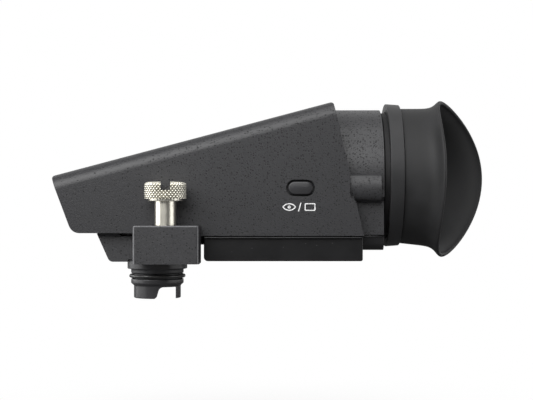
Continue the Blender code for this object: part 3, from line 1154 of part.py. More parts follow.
def build_focus(carrier, dial):
    """The sliding lens carrier with its glass, and the dial and crank that drive it."""
    spot = (0, 0, AXIS_Z)
    end = CARRIER_FRONT_X + CARRIER_LENGTH
    bore = CARRIER_BORE
    stop_bore = bore - LENS_STOP
    stop_low = CARRIER_FRONT_X + CARRIER_LENGTH * 0.4
    stop_high = stop_low + 4 * SEAM
    profile = [(CARRIER_FRONT_X, bore), (CARRIER_FRONT_X, CARRIER_RADIUS), (end, CARRIER_RADIUS),
               (end, bore), (stop_high, bore), (stop_high, stop_bore), (stop_low, stop_bore),
               (stop_low, bore)]
    body = piece("lens_carrier", turned(profile, 36, hollow=True), BLACK_PLASTIC, carrier, spot,
                 TOWARDS_X, smooth=True)
    crank_low, crank_high = crank_span()
    fork_out = crank_low - SEAM
    slot_floor = bore + CARRIER_WALL / 2
    fork = block((DIAL_X - FORK_WIDTH / 2, bore, fork_low()),
                 (DIAL_X + FORK_WIDTH / 2, fork_out, fork_high()))
    weld(body, helper("fork_block", fork))
    gap = CRANK_PIN + SEAM
    slot = block((DIAL_X - gap, slot_floor, fork_low() + FORK_WALL),
                 (DIAL_X + gap, fork_out + OVERCUT, fork_high() + OVERCUT))
    clear = rod(CARRIER_FRONT_X - OVERCUT, end + OVERCUT, stop_bore, 36)
    pocket = rod(stop_high, end + OVERCUT, bore, 36)
    cut(body, helper("fork_slot", slot), helper("carrier_clear", clear, spot, TOWARDS_X),
        helper("carrier_rear_pocket", pocket, spot, TOWARDS_X))

    glass_radius = bore - SEAM
    inner = lens_mesh(glass_radius, stop_low - SEAM - INNER_LENS[0], INNER_LENS)
    piece("inner_lens", inner, COATED_GLASS, carrier, spot, TOWARDS_X, smooth=True)
    outer_low = stop_high + SEAM
    outer_high = outer_low + EYE_LENS[0]
    outer = lens_mesh(glass_radius, outer_low, EYE_LENS)
    piece("eye_lens", outer, COATED_GLASS, carrier, spot, TOWARDS_X, smooth=True)
    hold = outer_high + 0.5 * MM
    keeper = ring(hold, hold + LENS_STOP, stop_bore, glass_radius, 28)
    piece("lens_keeper", keeper, ALUMINIUM, carrier, spot, TOWARDS_X, smooth=True)

    axis_spot = (DIAL_X, 0, DIAL_Z)
    seat = dial_seat_y() + SEAM
    proud = BARREL_RADIUS + LOBE_BULGE + DIAL_PROUD
    outline = ridged_outline(DIAL_RIDGES, DIAL_RADIUS, DIAL_RIDGE_DEPTH)
    knob = piece("dioptre_dial", prism(outline, seat, proud, "Z"), BLACK_PLASTIC, dial, axis_spot,
                 TOWARDS_Y)
    shaft = rod(crank_low + 0.4 * MM, seat + 0.5 * MM, DIAL_SHAFT, 16)
    weld(knob, helper("dial_shaft", shaft, axis_spot, TOWARDS_Y))
    mark = block((DIAL_X - SEAM, proud - SEAM, DIAL_Z + DIAL_RADIUS / 4),
                 (DIAL_X + SEAM, proud + OVERCUT, DIAL_Z + DIAL_RADIUS + OVERCUT))
    cut(knob, helper("dial_mark", mark))

    disc = ring(crank_low, crank_high, DIAL_SHAFT + SEAM, CRANK_RADIUS, 24)
    crank = piece("dial_crank", disc, STEEL, dial, axis_spot, TOWARDS_Y)
    pin = rod(slot_floor + SEAM, crank_high - SEAM, CRANK_PIN, SCREW_STEPS)
    weld(crank, helper("crank_pin", pin, (DIAL_X, 0, DIAL_Z + CRANK_REACH), TOWARDS_Y))
    bore_tool = rod(crank_low + 0.1 * MM, crank_high + OVERCUT, DIAL_SHAFT + SEAM, 24)
    cut(crank, helper("crank_bore", bore_tool, axis_spot, TOWARDS_Y))


def build_button(head, button):
    """The oval key, the guide behind it, and the switch that it presses."""
    spot = (BUTTON_X, 0, BUTTON_Z)
    face = -HALF_WIDTH - BUTTON_PROUD
    flange_front = -INNER_HALF + SEAM
    flange_back = flange_front + GUIDE_THICKNESS
    flange_length = BUTTON_LENGTH + 2 * BUTTON_FLANGE
    flange_height = BUTTON_HEIGHT + 2 * BUTTON_FLANGE
    key = prism(stadium(BUTTON_LENGTH, BUTTON_HEIGHT), face, flange_front + SEAM)
    cap = piece("button_cap", key, DARK_CASE, button, spot)
    soften(cap, SEAM)
    flange = prism(stadium(flange_length, flange_height), flange_front, flange_back)
    stem_end = flange_back + 3 * SEAM
    stem = rod(flange_back - SEAM, stem_end, BUTTON_STEM, 16)
    weld(cap, helper("button_flange", flange, spot), helper("button_stem", stem, spot, TOWARDS_Y))

    guide_front = flange_back + BUTTON_TRAVEL + SEAM
    guide_back = guide_front + GUIDE_THICKNESS
    length = flange_length + GUIDE_MARGIN
    height = flange_height + GUIDE_MARGIN
    guide_box = block((-length / 2, flange_front, -height / 2), (length / 2, guide_back, height / 2))
    guide = piece("button_guide", guide_box, BLACK_PLASTIC, head, spot)
    room = prism(stadium(flange_length + 2 * SEAM, flange_height + 2 * SEAM), flange_front - OVERCUT,
                 guide_front)
    hole = rod(guide_front - OVERCUT, guide_back + OVERCUT, BUTTON_STEM + SEAM, 16)
    cut(guide, helper("guide_room", room, spot), helper("guide_hole", hole, spot, TOWARDS_Y))

    switch_low = guide_back + SEAM
    switch_high = switch_low + SWITCH_DEPTH
    well_end = switch_low + SWITCH_DEPTH * 0.8
    plunger = rod(stem_end + SEAM, well_end - BUTTON_TRAVEL - SEAM, PLUNGER_RADIUS, 16)
    piece("switch_plunger", plunger, BRASS, button, spot, TOWARDS_Y, smooth=True)
    half = SWITCH_SIZE / 2
    switch_box = block((-half, switch_low, -half), (half, switch_high, half))
    switch = piece("button_switch", switch_box, BLACK_PLASTIC, head, spot)
    well = rod(switch_low - OVERCUT, well_end, PLUNGER_RADIUS + SEAM, 16)
    cut(switch, helper("switch_well", well, spot, TOWARDS_Y))

    board_low = switch_high + SEAM
    board_high = board_low + SWITCH_BOARD_THICKNESS
    board_box = block((-SWITCH_BOARD_LENGTH / 2, board_low, -SWITCH_BOARD_HEIGHT / 2),
                      (SWITCH_BOARD_LENGTH / 2, board_high, SWITCH_BOARD_HEIGHT / 2))
    board = piece("switch_board", board_box, GREEN_BOARD, head, spot)
    for name, side in (("switch_leg_front", -1), ("switch_leg_rear", 1)):
        leg = rod(guide_back + SEAM, board_low + SEAM, SWITCH_LEG_RADIUS, SCREW_STEPS)
        leg_spot = (BUTTON_X + side * SWITCH_LEG_X, 0, BUTTON_Z)
        weld(board, helper(name, leg, leg_spot, TOWARDS_Y))


def build_eyecup(cup_body):
    """Turning ring, the collar that the rubber grips, and the winged rubber eyecup."""
    spot = (0, 0, AXIS_Z)
    end = RING_X + RING_LENGTH
    edge = EYE_RING_RADIUS - RING_CROWN
    profile = [(RING_X, NECK_RADIUS + SEAM), (RING_X, edge), (RING_X + 2 * RING_CROWN, EYE_RING_RADIUS),
               (end - 2 * RING_CROWN, EYE_RING_RADIUS), (end, edge), (end, RETAINER_RADIUS + SEAM),
               (NECK_END_X, RETAINER_RADIUS + SEAM), (NECK_END_X, NECK_RADIUS + SEAM)]
    piece("eyecup_ring", turned(profile, 40, hollow=True), DARK_CASE, cup_body, spot, TOWARDS_X,
          smooth=True)

    collar_end = end + SPIGOT_LENGTH
    collar_bore = TUBE_BORE + COLLAR_STEP
    profile = [(COLLAR_X, collar_bore), (COLLAR_X, RETAINER_RADIUS), (end, RETAINER_RADIUS),
               (end, SPIGOT_RADIUS), (collar_end, SPIGOT_RADIUS), (collar_end, collar_bore)]
    piece("cup_collar", turned(profile, 36, hollow=True), BLACK_PLASTIC, cup_body, spot, TOWARDS_X,
          smooth=True)
    piece("eyecup", cup_mesh(), RUBBER, cup_body, smooth=True)


def cup_mesh(around=40, along=8):
    """The rubber eyecup as one closed grid: out along the outside, over the lip and back inside.

    The angle runs from the top towards the far side. The rim's place is a sum of its sine and
    the square of that, which leaves it near its level on the near half and draws out a wing on
    the far half. The flare starts late above and early below.
    """
    angle = np.linspace(0, 2 * np.pi, around, endpoint=False)
    side = np.sin(angle)
    reach = (CUP_WING * (side ** 2 + side) - CUP_NEAR_STEP * (side ** 2 - side)) / 2
    rim_x = CUP_RIM_X + reach - CUP_RIM_LEAN * np.cos(angle)
    rim_radius = CUP_FLARE_RADIUS - CUP_DROOP * np.cos(angle)
    tube_radius = CUP_TUBE_RADIUS - CUP_TUBE_DROOP * np.cos(angle)
    power = 3.8 + 1.7 * np.cos(angle)
    grip = SPIGOT_RADIUS + SEAM
    outside = []
    inside = []
    for share in np.linspace(0, 1, along) ** 0.8:
        x = CUP_X + (rim_x - CUP_X) * share
        radius = tube_radius + (rim_radius - tube_radius) * share ** power
        wall = (tube_radius - grip) * (1 - share) + CUP_LIP * share
        outside.append((x, radius))
        inside.append((x, radius - wall))
    lip = (rim_x + 0.35 * CUP_LIP, rim_radius - CUP_LIP / 2)
    bm = bmesh.new()
    loops = []
    for x, radius in outside + [lip] + inside[::-1]:
        y = radius * np.sin(angle)
        z = AXIS_Z + radius * np.cos(angle)
        loops.append([bm.verts.new(point) for point in zip(x, y, z)])
    for first, second in zip(loops, loops[1:] + loops[:1]):
        for step in range(around):
            after = (step + 1) % around
            bm.faces.new((first[step], first[after], second[after], second[step]))
    return bm


def main():
    clear_objects()
    foot = carrier_empty("foot_body", (0.0, 0.0, 0.0))
    head = carrier_empty("head_body", (TILT_X, 0.0, TILT_Z), foot)
    clip_body = carrier_empty("clip_body", (SCREW_X, SCREW_Y, 0.0), foot)
    screw_body = carrier_empty("screw_body", (SCREW_X, SCREW_Y, 0.0), clip_body)
    button = carrier_empty("button_body", (BUTTON_X, 0.0, BUTTON_Z), head)
    cup_body = carrier_empty("cup_body", (0.0, 0.0, AXIS_Z), head)
    carrier = carrier_empty("focus_body", (0.0, 0.0, AXIS_Z), head)
    dial = carrier_empty("dial_body", (DIAL_X, 0.0, DIAL_Z), head)

    build_foot(foot)
    build_lid(foot)
    build_connector(foot)
    build_hinge(foot, head)
    build_cables(foot, head)
    build_thumbscrew(clip_body, screw_body)
    build_housing(head)
    build_floor(head)
    build_electronics(head)
    build_cover(head)
    build_barrel(head)
    build_optics(head)
    build_focus(carrier, dial)
    build_button(head, button)
    build_eyecup(cup_body)


main()
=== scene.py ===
"""Electronic viewfinder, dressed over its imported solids.

Metres, +X towards the eyepiece, +Y away from the thumbscrew, +Z up from the camera's face.
"""

import math

import bmesh
import bpy
import numpy as np
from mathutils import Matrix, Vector


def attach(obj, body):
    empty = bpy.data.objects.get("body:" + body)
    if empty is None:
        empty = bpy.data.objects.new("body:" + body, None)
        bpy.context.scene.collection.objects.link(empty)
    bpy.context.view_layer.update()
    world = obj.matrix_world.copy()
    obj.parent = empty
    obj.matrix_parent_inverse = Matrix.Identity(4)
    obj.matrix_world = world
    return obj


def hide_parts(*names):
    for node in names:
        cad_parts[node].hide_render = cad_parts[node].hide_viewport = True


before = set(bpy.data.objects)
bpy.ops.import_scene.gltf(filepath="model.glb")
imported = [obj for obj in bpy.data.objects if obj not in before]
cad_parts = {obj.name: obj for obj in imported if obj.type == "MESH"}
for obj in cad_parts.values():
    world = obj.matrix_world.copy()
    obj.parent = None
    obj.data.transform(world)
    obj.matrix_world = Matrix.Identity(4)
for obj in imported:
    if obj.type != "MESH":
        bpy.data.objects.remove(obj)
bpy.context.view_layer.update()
MM = 0.001


# Camera, backdrop and lamps. The viewfinder is seen square on from its near side, about half a
# metre away, in front of plain white. A long soft lamp hangs over the camera, two broad ones
# stand at the sides and a weak one hangs above.
camera = bpy.data.objects.new("camera", bpy.data.cameras.new("camera"))
bpy.context.scene.collection.objects.link(camera)
camera.location = (38.1 * MM, -470 * MM, 21.4 * MM)
camera.rotation_euler = (math.pi / 2, 0, 0)
camera.data.sensor_width = 36
camera.data.lens = 87
camera.data.clip_start = 0.01
bpy.context.scene.camera = camera
bpy.context.scene.view_settings.view_transform = "Standard"


class Wire:
    """A shader value. Operators on it add Math nodes, and node() adds any other node."""

    def __init__(self, socket):
        self.socket = socket

    def node(self, kind, settings, inputs, output=0):
        """Adds a node of a kind. Settings go first, then the values or wires of its sockets."""
        made = self.socket.id_data.nodes.new(kind)
        for key, value in settings.items():
            setattr(made, key, value)
        for key, value in inputs.items():
            feed(made.inputs[key], value)
        return Wire(made.outputs[output])

    def maths(self, operation, *others):
        inputs = dict(enumerate((self, *others)))
        return self.node("ShaderNodeMath", {"operation": operation}, inputs)

    def __add__(self, other):
        return self.maths("ADD", other)

    __radd__ = __add__

    def __sub__(self, other):
        return self.maths("SUBTRACT", other)

    def __rsub__(self, other):
        return (self * -1) + other

    def __mul__(self, other):
        return self.maths("MULTIPLY", other)

    __rmul__ = __mul__

    def band(self, low, high):
        """Rises smoothly from 0 at low to 1 at high."""
        return self.node("ShaderNodeMapRange", {"interpolation_type": "SMOOTHSTEP"},
                         {"Value": self, "From Min": low, "From Max": high})

    def noise(self, scale, detail=2.0):
        return self.node("ShaderNodeTexNoise", {}, {"Vector": self, "Scale": scale, "Detail": detail})

    def stretched(self, x, y, z):
        return self.node("ShaderNodeMapping", {}, {"Vector": self, "Scale": (x, y, z)})

    def spots(self, scale, share, low, high):
        """Round spots in a share of the cells of a Voronoi pattern, solid within low, gone past high."""
        cells = self.node("ShaderNodeTexVoronoi", {}, {"Vector": self, "Scale": scale})
        colour = Wire(cells.socket.node.outputs["Color"])
        chosen = colour.node("ShaderNodeSeparateColor", {}, {"Color": colour}).maths("LESS_THAN", share)
        return (1 - cells.band(low, high)) * chosen

    def tint(self, first, second):
        """Mixes two colours, or wires of colours, by this wire."""
        return self.node("ShaderNodeMix", {"data_type": "RGBA"}, {0: self, 6: first, 7: second}, 2)

    def bump(self, strength, distance):
        inputs = {"Strength": strength, "Distance": distance, "Height": self}
        return self.node("ShaderNodeBump", {}, inputs)


def feed(socket, value):
    """Links a wire to a socket, or sets its value."""
    if isinstance(value, Wire):
        socket.id_data.links.new(value.socket, socket)
    elif hasattr(socket.default_value, "__len__") and len(socket.default_value) == 4:
        socket.default_value = (*value[:3], 1.0)
    else:
        socket.default_value = value


def feed_all(shader, **values):
    """Feeds a shader's sockets, which are named in small letters with underscores."""
    for key, value in values.items():
        feed(shader.inputs[key.replace("_", " ").title().replace("Ior", "IOR")], value)


def new_finish(name, **constants):
    """A material with its constant sockets set. Returns it, its shader and its place wire."""
    material = bpy.data.materials.new(name)
    material.use_nodes = True
    shader = material.node_tree.nodes["Principled BSDF"]
    feed_all(shader, **constants)
    coordinates = material.node_tree.nodes.new("ShaderNodeTexCoord")
    return material, shader, Wire(coordinates.outputs["Object"])


def shade(tone, factor):
    return tuple(factor * value for value in tone)


def axes(place):
    """The three parts of a place wire."""
    parts = place.node("ShaderNodeSeparateXYZ", {}, {"Vector": place})
    return [Wire(output) for output in parts.socket.node.outputs]


def rays(tree, *kinds):
    """One for the kinds of rays named, nought for others."""
    path = tree.nodes.new("ShaderNodeLightPath")
    chosen = Wire(path.outputs[kinds[0]])
    for kind in kinds[1:]:
        chosen = chosen.maths("MAXIMUM", Wire(path.outputs[kind]))
    return chosen


world = bpy.data.worlds.new("studio")
bpy.context.scene.world = world
world.use_nodes = True
room = Wire(world.node_tree.nodes["Background"].outputs[0])
feed(room.socket.node.inputs["Color"], (0.07, 0.07, 0.075))
towards = Wire(world.node_tree.nodes.new("ShaderNodeTexCoord").outputs["Generated"])
backdrop_side = axes(towards)[1].band(0.05, 0.6)
plain_white = room.node("ShaderNodeBackground", {}, {"Color": (1, 1, 1)})
whole = rays(world.node_tree, "Is Camera Ray", "Is Transmission Ray")
partly = rays(world.node_tree, "Is Glossy Ray") * backdrop_side
studio = room.node("ShaderNodeMixShader", {}, {0: whole.maths("MAXIMUM", partly), 1: room, 2: plain_white})
feed(world.node_tree.nodes["World Output"].inputs["Surface"], studio)


def soft_lamp(name, place, aim, width, height, power):
    lamp = bpy.data.objects.new(name, bpy.data.lights.new(name, "AREA"))
    lamp.data.shape = "RECTANGLE"
    lamp.data.size = width
    lamp.data.size_y = height
    lamp.data.energy = power
    lamp.location = place
    lamp.rotation_euler = (Vector(aim) - Vector(place)).to_track_quat("-Z", "Y").to_euler()
    bpy.context.scene.collection.objects.link(lamp)


middle = (30 * MM, 0, 25 * MM)
soft_lamp("front_lamp", (-0.24, -0.62, 0.48), middle, 0.9, 0.62, 10.0)
soft_lamp("left_lamp", (-0.66, -0.02, 0.06), middle, 0.90, 0.50, 3.8)
soft_lamp("right_lamp", (0.70, -0.08, 0.06), middle, 0.80, 0.50, 2.3)
soft_lamp("top_lamp", (0.10, -0.20, 0.80), middle, 0.60, 0.40, 2.4)

bpy.ops.mesh.primitive_plane_add(size=4, location=(0, 0, -60 * MM))
floor = bpy.context.object
floor.name = "floor"
floor_finish, floor_shader, floor_place = new_finish("floor_finish", roughness=0.9,
                                                     base_color=(0.14, 0.14, 0.14))
# To the camera the floor is white emission, dimmed by ambient occlusion near the object: a painted shadow.
openness = floor_place.node("ShaderNodeAmbientOcclusion", {"samples": 8}, {"Distance": 0.12}, 1)
shaded_white = openness.node("ShaderNodeEmission", {}, {"Color": openness.band(-0.4, 0.96)})
seen_white = rays(floor_finish.node_tree, "Is Camera Ray", "Is Transmission Ray")
floor_look = openness.node("ShaderNodeMixShader", {},
                           {0: seen_white, 1: Wire(floor_shader.outputs[0]), 2: shaded_white})
feed(floor_finish.node_tree.nodes["Material Output"].inputs["Surface"], floor_look)
floor.data.materials.append(floor_finish)


# Wedge housing. A light-alloy casting in charcoal paint with a fine grain and small dark pits.
# It is one shell, open below and behind, with an oval window for the key.
def speckled_paint(name, tone, pit_share, even, painted_highlight=None):
    """Charcoal paint: mottled tone, sparkling grain and dark pits. At the front only the part
    even of the pits is left. A pale painted highlight is laid on where a rule for the place says so."""
    material, shader, place = new_finish(name, specular_ior_level=0.5)
    cloud = place.noise(220)
    grain = place.noise(1500, 3)
    sparkle = place.noise(2300, 1)
    rearwards = axes(place)[0].band(-25 * MM, 30 * MM)
    share = pit_share * (even + (1 - even) * rearwards)
    small_pits = 0.8 * place.spots(1700, share, 0.24, 0.4)
    pits = place.spots(1050, share, 0.2, 0.36).maths("MAXIMUM", small_pits)
    paleness = (0.12 + 1.3 * grain + 0.3 * cloud) * (1 - 0.95 * pits)
    colour = (paleness * 0.55).tint(shade(tone, 0.2), shade(tone, 1.75))
    # Painted highlight: a paler colour laid along the edges that a rule for the place picks out.
    if painted_highlight:
        colour = (painted_highlight(place) * (0.2 + 0.8 * grain)).tint(colour, (0.26, 0.26, 0.27))
    feed_all(shader, base_color=colour, roughness=0.38 + 0.16 * grain + 0.3 * pits,
             normal=(sparkle + 0.4 * grain - 0.8 * pits).bump(0.5, 0.07 * MM))
    return material


def mm(*values):
    """Sizes or points given in millimetres, in metres."""
    return np.array(values, float) * MM


def rounded_line(points, radii, steps=6):
    """A closed line with its corners turned into arcs, whose centres lie on the bisectors at the
    radius over the sine of half the corner's angle."""
    line = []
    points = np.asarray(points, float)
    for index, radius in enumerate(radii):
        corner = points[index]
        if radius == 0:
            line.append(corner[None])
            continue
        before = points[index - 1] - corner
        after = points[(index + 1) % len(points)] - corner
        before /= np.linalg.norm(before)
        after /= np.linalg.norm(after)
        half = math.acos(np.clip(before @ after, -1, 1)) / 2
        bisector = (before + after) / np.linalg.norm(before + after)
        share = np.linspace(-1, 1, steps + 1)[:, None] * (math.pi / 2 - half)
        across = (after - before) / np.linalg.norm(after - before)
        centre = corner + bisector * radius / math.sin(half)
        line.append(centre + radius * (across * np.sin(share) - bisector * np.cos(share)))
    return np.concatenate(line)


def rectangle(corner, opposite):
    return np.array([corner, (opposite[0], corner[1]), opposite, (corner[0], opposite[1])])


def add_shape(name, points, faces):
    """An object from points and faces, its doubles merged and its faces turned outwards."""
    mesh = bpy.data.meshes.new(name)
    mesh.from_pydata(np.asarray(points).reshape(-1, 3).tolist(), [], faces)
    shape = bmesh.new()
    shape.from_mesh(mesh)
    bmesh.ops.remove_doubles(shape, verts=shape.verts, dist=0.0005 * MM)
    bmesh.ops.recalc_face_normals(shape, faces=shape.faces)
    shape.to_mesh(mesh)
    shape.free()
    made = bpy.data.objects.new(name, mesh)
    bpy.context.scene.collection.objects.link(made)
    return made


COLUMNS = {"X": (2, 0, 1), "Y": (0, 2, 1), "Z": (0, 1, 2)}


def at_level(line, level, along="Y"):
    """A line's points in space, at a level along an axis."""
    return np.column_stack([line, np.broadcast_to(level, len(line))])[:, COLUMNS[along]]


def offset_line(line, distance):
    """A closed line moved inwards: each point goes along the sum of its two sides' normals over
    one plus their product, which keeps the sides parallel at corners."""
    side = np.roll(line, -1, axis=0) - line
    side /= np.linalg.norm(side, axis=1)[:, None]
    normal = np.stack([-side[:, 1], side[:, 0]], axis=1)
    before = np.roll(normal, 1, axis=0)
    dot = (normal * before).sum(axis=1)[:, None]
    area = (line[:, 0] * np.roll(line[:, 1], -1) - np.roll(line[:, 0], -1) * line[:, 1]).sum()
    return line + math.copysign(1, area) * (normal + before) / (1 + dot) * np.reshape(distance, (-1, 1))


def grid_faces(rows, columns, wrap_rows, wrap_columns):
    """Four-sided faces of a grid of points, closed on itself either way."""
    row, column = np.meshgrid(np.arange(rows - 1 + wrap_rows), np.arange(columns - 1 + wrap_columns),
                              indexing="ij")
    next_row = (row + 1) % rows
    next_column = (column + 1) % columns
    corners = [row * columns + column, row * columns + next_column,
               next_row * columns + next_column, next_row * columns + column]
    return np.stack(corners, axis=-1).reshape(-1, 4).tolist()


def stacked(name, rows):
    """A solid from closed rows of points, one after another, with a flat face at each end."""
    count = len(rows[0])
    last = (len(rows) - 1) * count
    ends = [list(range(count)), list(range(last, last + count))]
    return add_shape(name, np.concatenate(rows), grid_faces(len(rows), count, False, True) + ends)


def carried(name, line, low, high, along="Y"):
    """A closed line carried straight along an axis, with flat ends."""
    return stacked(name, [at_level(line, level, along) for level in (low, high)])


def cushion(name, line, low, high, radius, along="Y", steps=6):
    """A closed line carried along an axis, its two end edges rounded in quarter circles."""
    radius = np.broadcast_to(radius, len(line)).astype(float)
    angle = np.linspace(0, math.pi / 2, steps + 1)
    rows = []
    for end, way, turns in ((low, 1, angle), (high, -1, angle[::-1])):
        for turn in turns:
            inside = offset_line(line, radius * (1 - math.sin(turn)))
            rows.append(at_level(inside, end + way * radius * (1 - math.cos(turn)), along))
    return stacked(name, rows)


def carve(piece, tools, operation="DIFFERENCE"):
    """Cuts tool shapes out of a piece, unites them with it or keeps what they share with it, and
    drops the tools."""
    for tool in tools:
        modifier = piece.modifiers.new(tool.name, "BOOLEAN")
        modifier.operation = operation
        modifier.object = tool
        modifier.solver = "EXACT"
    ready = piece.evaluated_get(bpy.context.evaluated_depsgraph_get())
    mesh = bpy.data.meshes.new_from_object(ready)
    piece.modifiers.clear()
    piece.data = mesh
    for tool in tools:
        bpy.data.objects.remove(tool)


def soften(piece, width, segments, sharp):
    """A bevel on the edges that are sharper than an angle in degrees."""
    bevel = piece.modifiers.new("edges", "BEVEL")
    bevel.width = width
    bevel.segments = segments
    bevel.limit_method = "ANGLE"
    bevel.angle_limit = math.radians(sharp)


def complete(piece, material, body, node=None, edge=0.0, sharp=35):
    """Gives a piece its material, soft edges, smooth shading and body."""
    piece.data.materials.clear()
    piece.data.materials.append(material)
    piece.data.shade_smooth()
    if edge:
        soften(piece, edge, 3, sharp)
    else:
        piece.data.set_sharp_from_angle(angle=math.radians(sharp))
    piece.modifiers.new("shading", "WEIGHTED_NORMAL").keep_sharp = True
    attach(piece, body)
    if node:
        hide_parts(node)


def oval(length, height, steps=24):
    """An oval with half-round ends: two half circles, moved apart along the first axis."""
    angle = np.linspace(-math.pi / 2, math.pi / 2, steps)
    end = np.stack([np.cos(angle), np.sin(angle)], axis=1) * height / 2
    shift = np.array([length / 2 - height / 2, 0])
    return np.concatenate([end + shift, -end - shift])


# A cutting tool reaches this far past what it cuts.
PAST = 1 * MM
CASE_HALF, CASE_WALL = mm(28.0, 1.8)
ROOF_SLOPE = math.tan(math.radians(14.85))
NOSE_SLOPE = math.tan(math.radians(20.6))
REAR_SLOPE = math.tan(math.radians(12.7))
NOSE_TOP = (-36.2 * MM, 29.7 * MM)
ROOF_END_X = 61.1 * MM
SKIRT_Z, DECK_Z = mm(10.0, 9.0)
STEP_X = 15.6 * MM
NOSE_ROUND, TAIL_ROUND, CHEEK_ROUND = mm(0.9, 1.1, 3.8)
CHEEK_FLOOR = 3.8 * MM
ROOF_EDGE, INNER_EDGE = mm(5.0, 3.2)


def roof_z(x):
    return NOSE_TOP[1] + (x - NOSE_TOP[0]) * ROOF_SLOPE


def nose_x(z):
    return NOSE_TOP[0] + (NOSE_TOP[1] - z) * NOSE_SLOPE


def rear_x(z):
    return ROOF_END_X + (roof_z(ROOF_END_X) - z) * REAR_SLOPE


case_line = rounded_line([NOSE_TOP, (ROOF_END_X, roof_z(ROOF_END_X)), (rear_x(DECK_Z), DECK_Z),
                          (STEP_X, DECK_Z), (STEP_X, SKIRT_Z), (nose_x(SKIRT_Z), SKIRT_Z)],
                         (NOSE_ROUND, TAIL_ROUND, 0, 0, 0, CHEEK_ROUND))
block_x = (NOSE_TOP[0] - 15 * MM, ROOF_END_X + 25 * MM)
block_line = np.array([(block_x[0], roof_z(block_x[0])), (block_x[1], roof_z(block_x[1])),
                       (block_x[1], 0), (block_x[0], 0)])
block_edges = np.array([ROOF_EDGE, ROOF_EDGE, 0.1 * MM, 0.1 * MM])
case_shell = cushion("case_shell", block_line, -CASE_HALF, CASE_HALF, block_edges, steps=12)
carve(case_shell, [carried("case_outline", case_line, -CASE_HALF - PAST, CASE_HALF + PAST)], "INTERSECT")

wall_x = CASE_WALL * math.hypot(1, NOSE_SLOPE)
wall_z = CASE_WALL * math.hypot(1, ROOF_SLOPE)
corner_x = NOSE_TOP[0] + (wall_z * NOSE_SLOPE + wall_x) / (1 + ROOF_SLOPE * NOSE_SLOPE)
floor_z = SKIRT_Z + CASE_WALL
floor_x = nose_x(SKIRT_Z) + CHEEK_FLOOR
below_z = DECK_Z - 4 * MM
behind_x = rear_x(DECK_Z) + 4 * MM
hollow_line = np.array([(corner_x, roof_z(corner_x) - wall_z), (behind_x, roof_z(behind_x) - wall_z),
                        (behind_x, below_z), (floor_x, below_z), (floor_x, floor_z),
                        (nose_x(floor_z) + wall_x, floor_z)])
inner_half = CASE_HALF - CASE_WALL
hollow_edges = np.array([INNER_EDGE, INNER_EDGE, 0, 0, 0, 0])
hollow = cushion("hollow", hollow_line, -inner_half, inner_half, hollow_edges)
near_cut = (-CASE_HALF - PAST, -inner_half + PAST)
far_cut = (inner_half - PAST, CASE_HALF + PAST)

KEY_SPOT = mm(49.8, 25.5)
WINDOW_LENGTH, WINDOW_HEIGHT = mm(9.8, 5.7)
window = carried("window", oval(WINDOW_LENGTH, WINDOW_HEIGHT) + KEY_SPOT, *near_cut)
LOBE_FRONT, LOBE_END, LOBE_TOP, LOBE_LOW = mm(67.0, 77.8, 30.4, 21.0)
LOBE_GAP = 0.12 * MM
NOTCH_ROUND = 2.9 * MM
notch_line = rounded_line(rectangle((LOBE_FRONT - LOBE_GAP, LOBE_TOP + LOBE_GAP),
                                    (LOBE_END + 0.3 * MM, LOBE_LOW - LOBE_GAP)), (0, 0, 0, NOTCH_ROUND))
notches = [carried("notch", notch_line, *cut) for cut in (near_cut, far_cut)]
carve(case_shell, [hollow, window, *notches])
case_paint = speckled_paint("case_paint", (0.0175, 0.0175, 0.0195), 0.50, 0.2)
complete(case_shell, case_paint, "head", "housing", edge=0.3 * MM, sharp=30)


# Eyepiece barrel. A casting in the case's paint, a shade paler as painted light: half round
# above the optical axis, pulled in below it, with a rounded lobe on each side and a rear wall that
# holds the lens tube.
# A slanted wall round it closes the housing from behind.
AXIS_Z = 30.4 * MM
BARREL_RADIUS, BARREL_WALL, BARREL_WAIST, BARREL_END = mm(23.7, 1.6, 21.5, 79.0)
CASE_GAP = 0.3 * MM
WAIST_RISE = 1.5 * MM
LOBE_BULGE, LOBE_ROUND = mm(2.9, 3.0)
LOBE_MIDDLE = (LOBE_TOP + LOBE_LOW) / 2
LAP = 0.6 * MM
REAR_WALL, REAR_INSET, REAR_ROUND = mm(1.5, 1.8, 3.0)
TUBE_SEAT = 18.9 * MM
DIAL_SPOT = (71.5 * MM, LOBE_MIDDLE)
DIAL_SEAT = 4.3 * MM
# The radius of a profile's ends on its axis, in millimetres.
ON_AXIS = 1e-6


def barrel_line(inset, low):
    """The barrel's section moved in: half a circle above, straight to the waist and to its foot."""
    radius = BARREL_RADIUS - inset
    waist = BARREL_WAIST - inset
    angle = np.linspace(0, math.pi, 72)
    upper = np.stack([radius * np.cos(angle), AXIS_Z + radius * np.sin(angle)], axis=1)
    lower = [(-radius, LOBE_LOW + WAIST_RISE), (-waist, LOBE_LOW), (-waist, low), (waist, low),
             (waist, LOBE_LOW), (radius, LOBE_LOW + WAIST_RISE)]
    return np.concatenate([upper, lower])


def full_turn(steps):
    return np.linspace(0, 2 * math.pi, steps, endpoint=False)


def around(place, radius, angle, along="X", centre=(0.0, AXIS_Z)):
    """Points at places along an axis and radii from it, each turned round it by its angle."""
    place, radius, angle = np.broadcast_arrays(place, radius, angle)
    first = centre[0] + radius * np.sin(angle)
    second = centre[1] + radius * np.cos(angle)
    return np.stack([first, second, place], axis=-1)[..., COLUMNS[along]]


def turned(name, line, steps, along="X", centre=(0.0, AXIS_Z)):
    """A closed line of (place, radius) spun about an axis, each point on its own circle."""
    points = around(line[:, :1], line[:, 1:], full_turn(steps), along, centre)
    return add_shape(name, points, grid_faces(len(line), steps, True, True))


def post(name, low, high, radius, spot, along="Z", steps=48):
    """A round bar along an axis, its two ends closed by points on the axis."""
    line = np.array([(low, ON_AXIS * MM), (low, radius), (high, radius), (high, ON_AXIS * MM)])
    return turned(name, line, steps, along, spot)


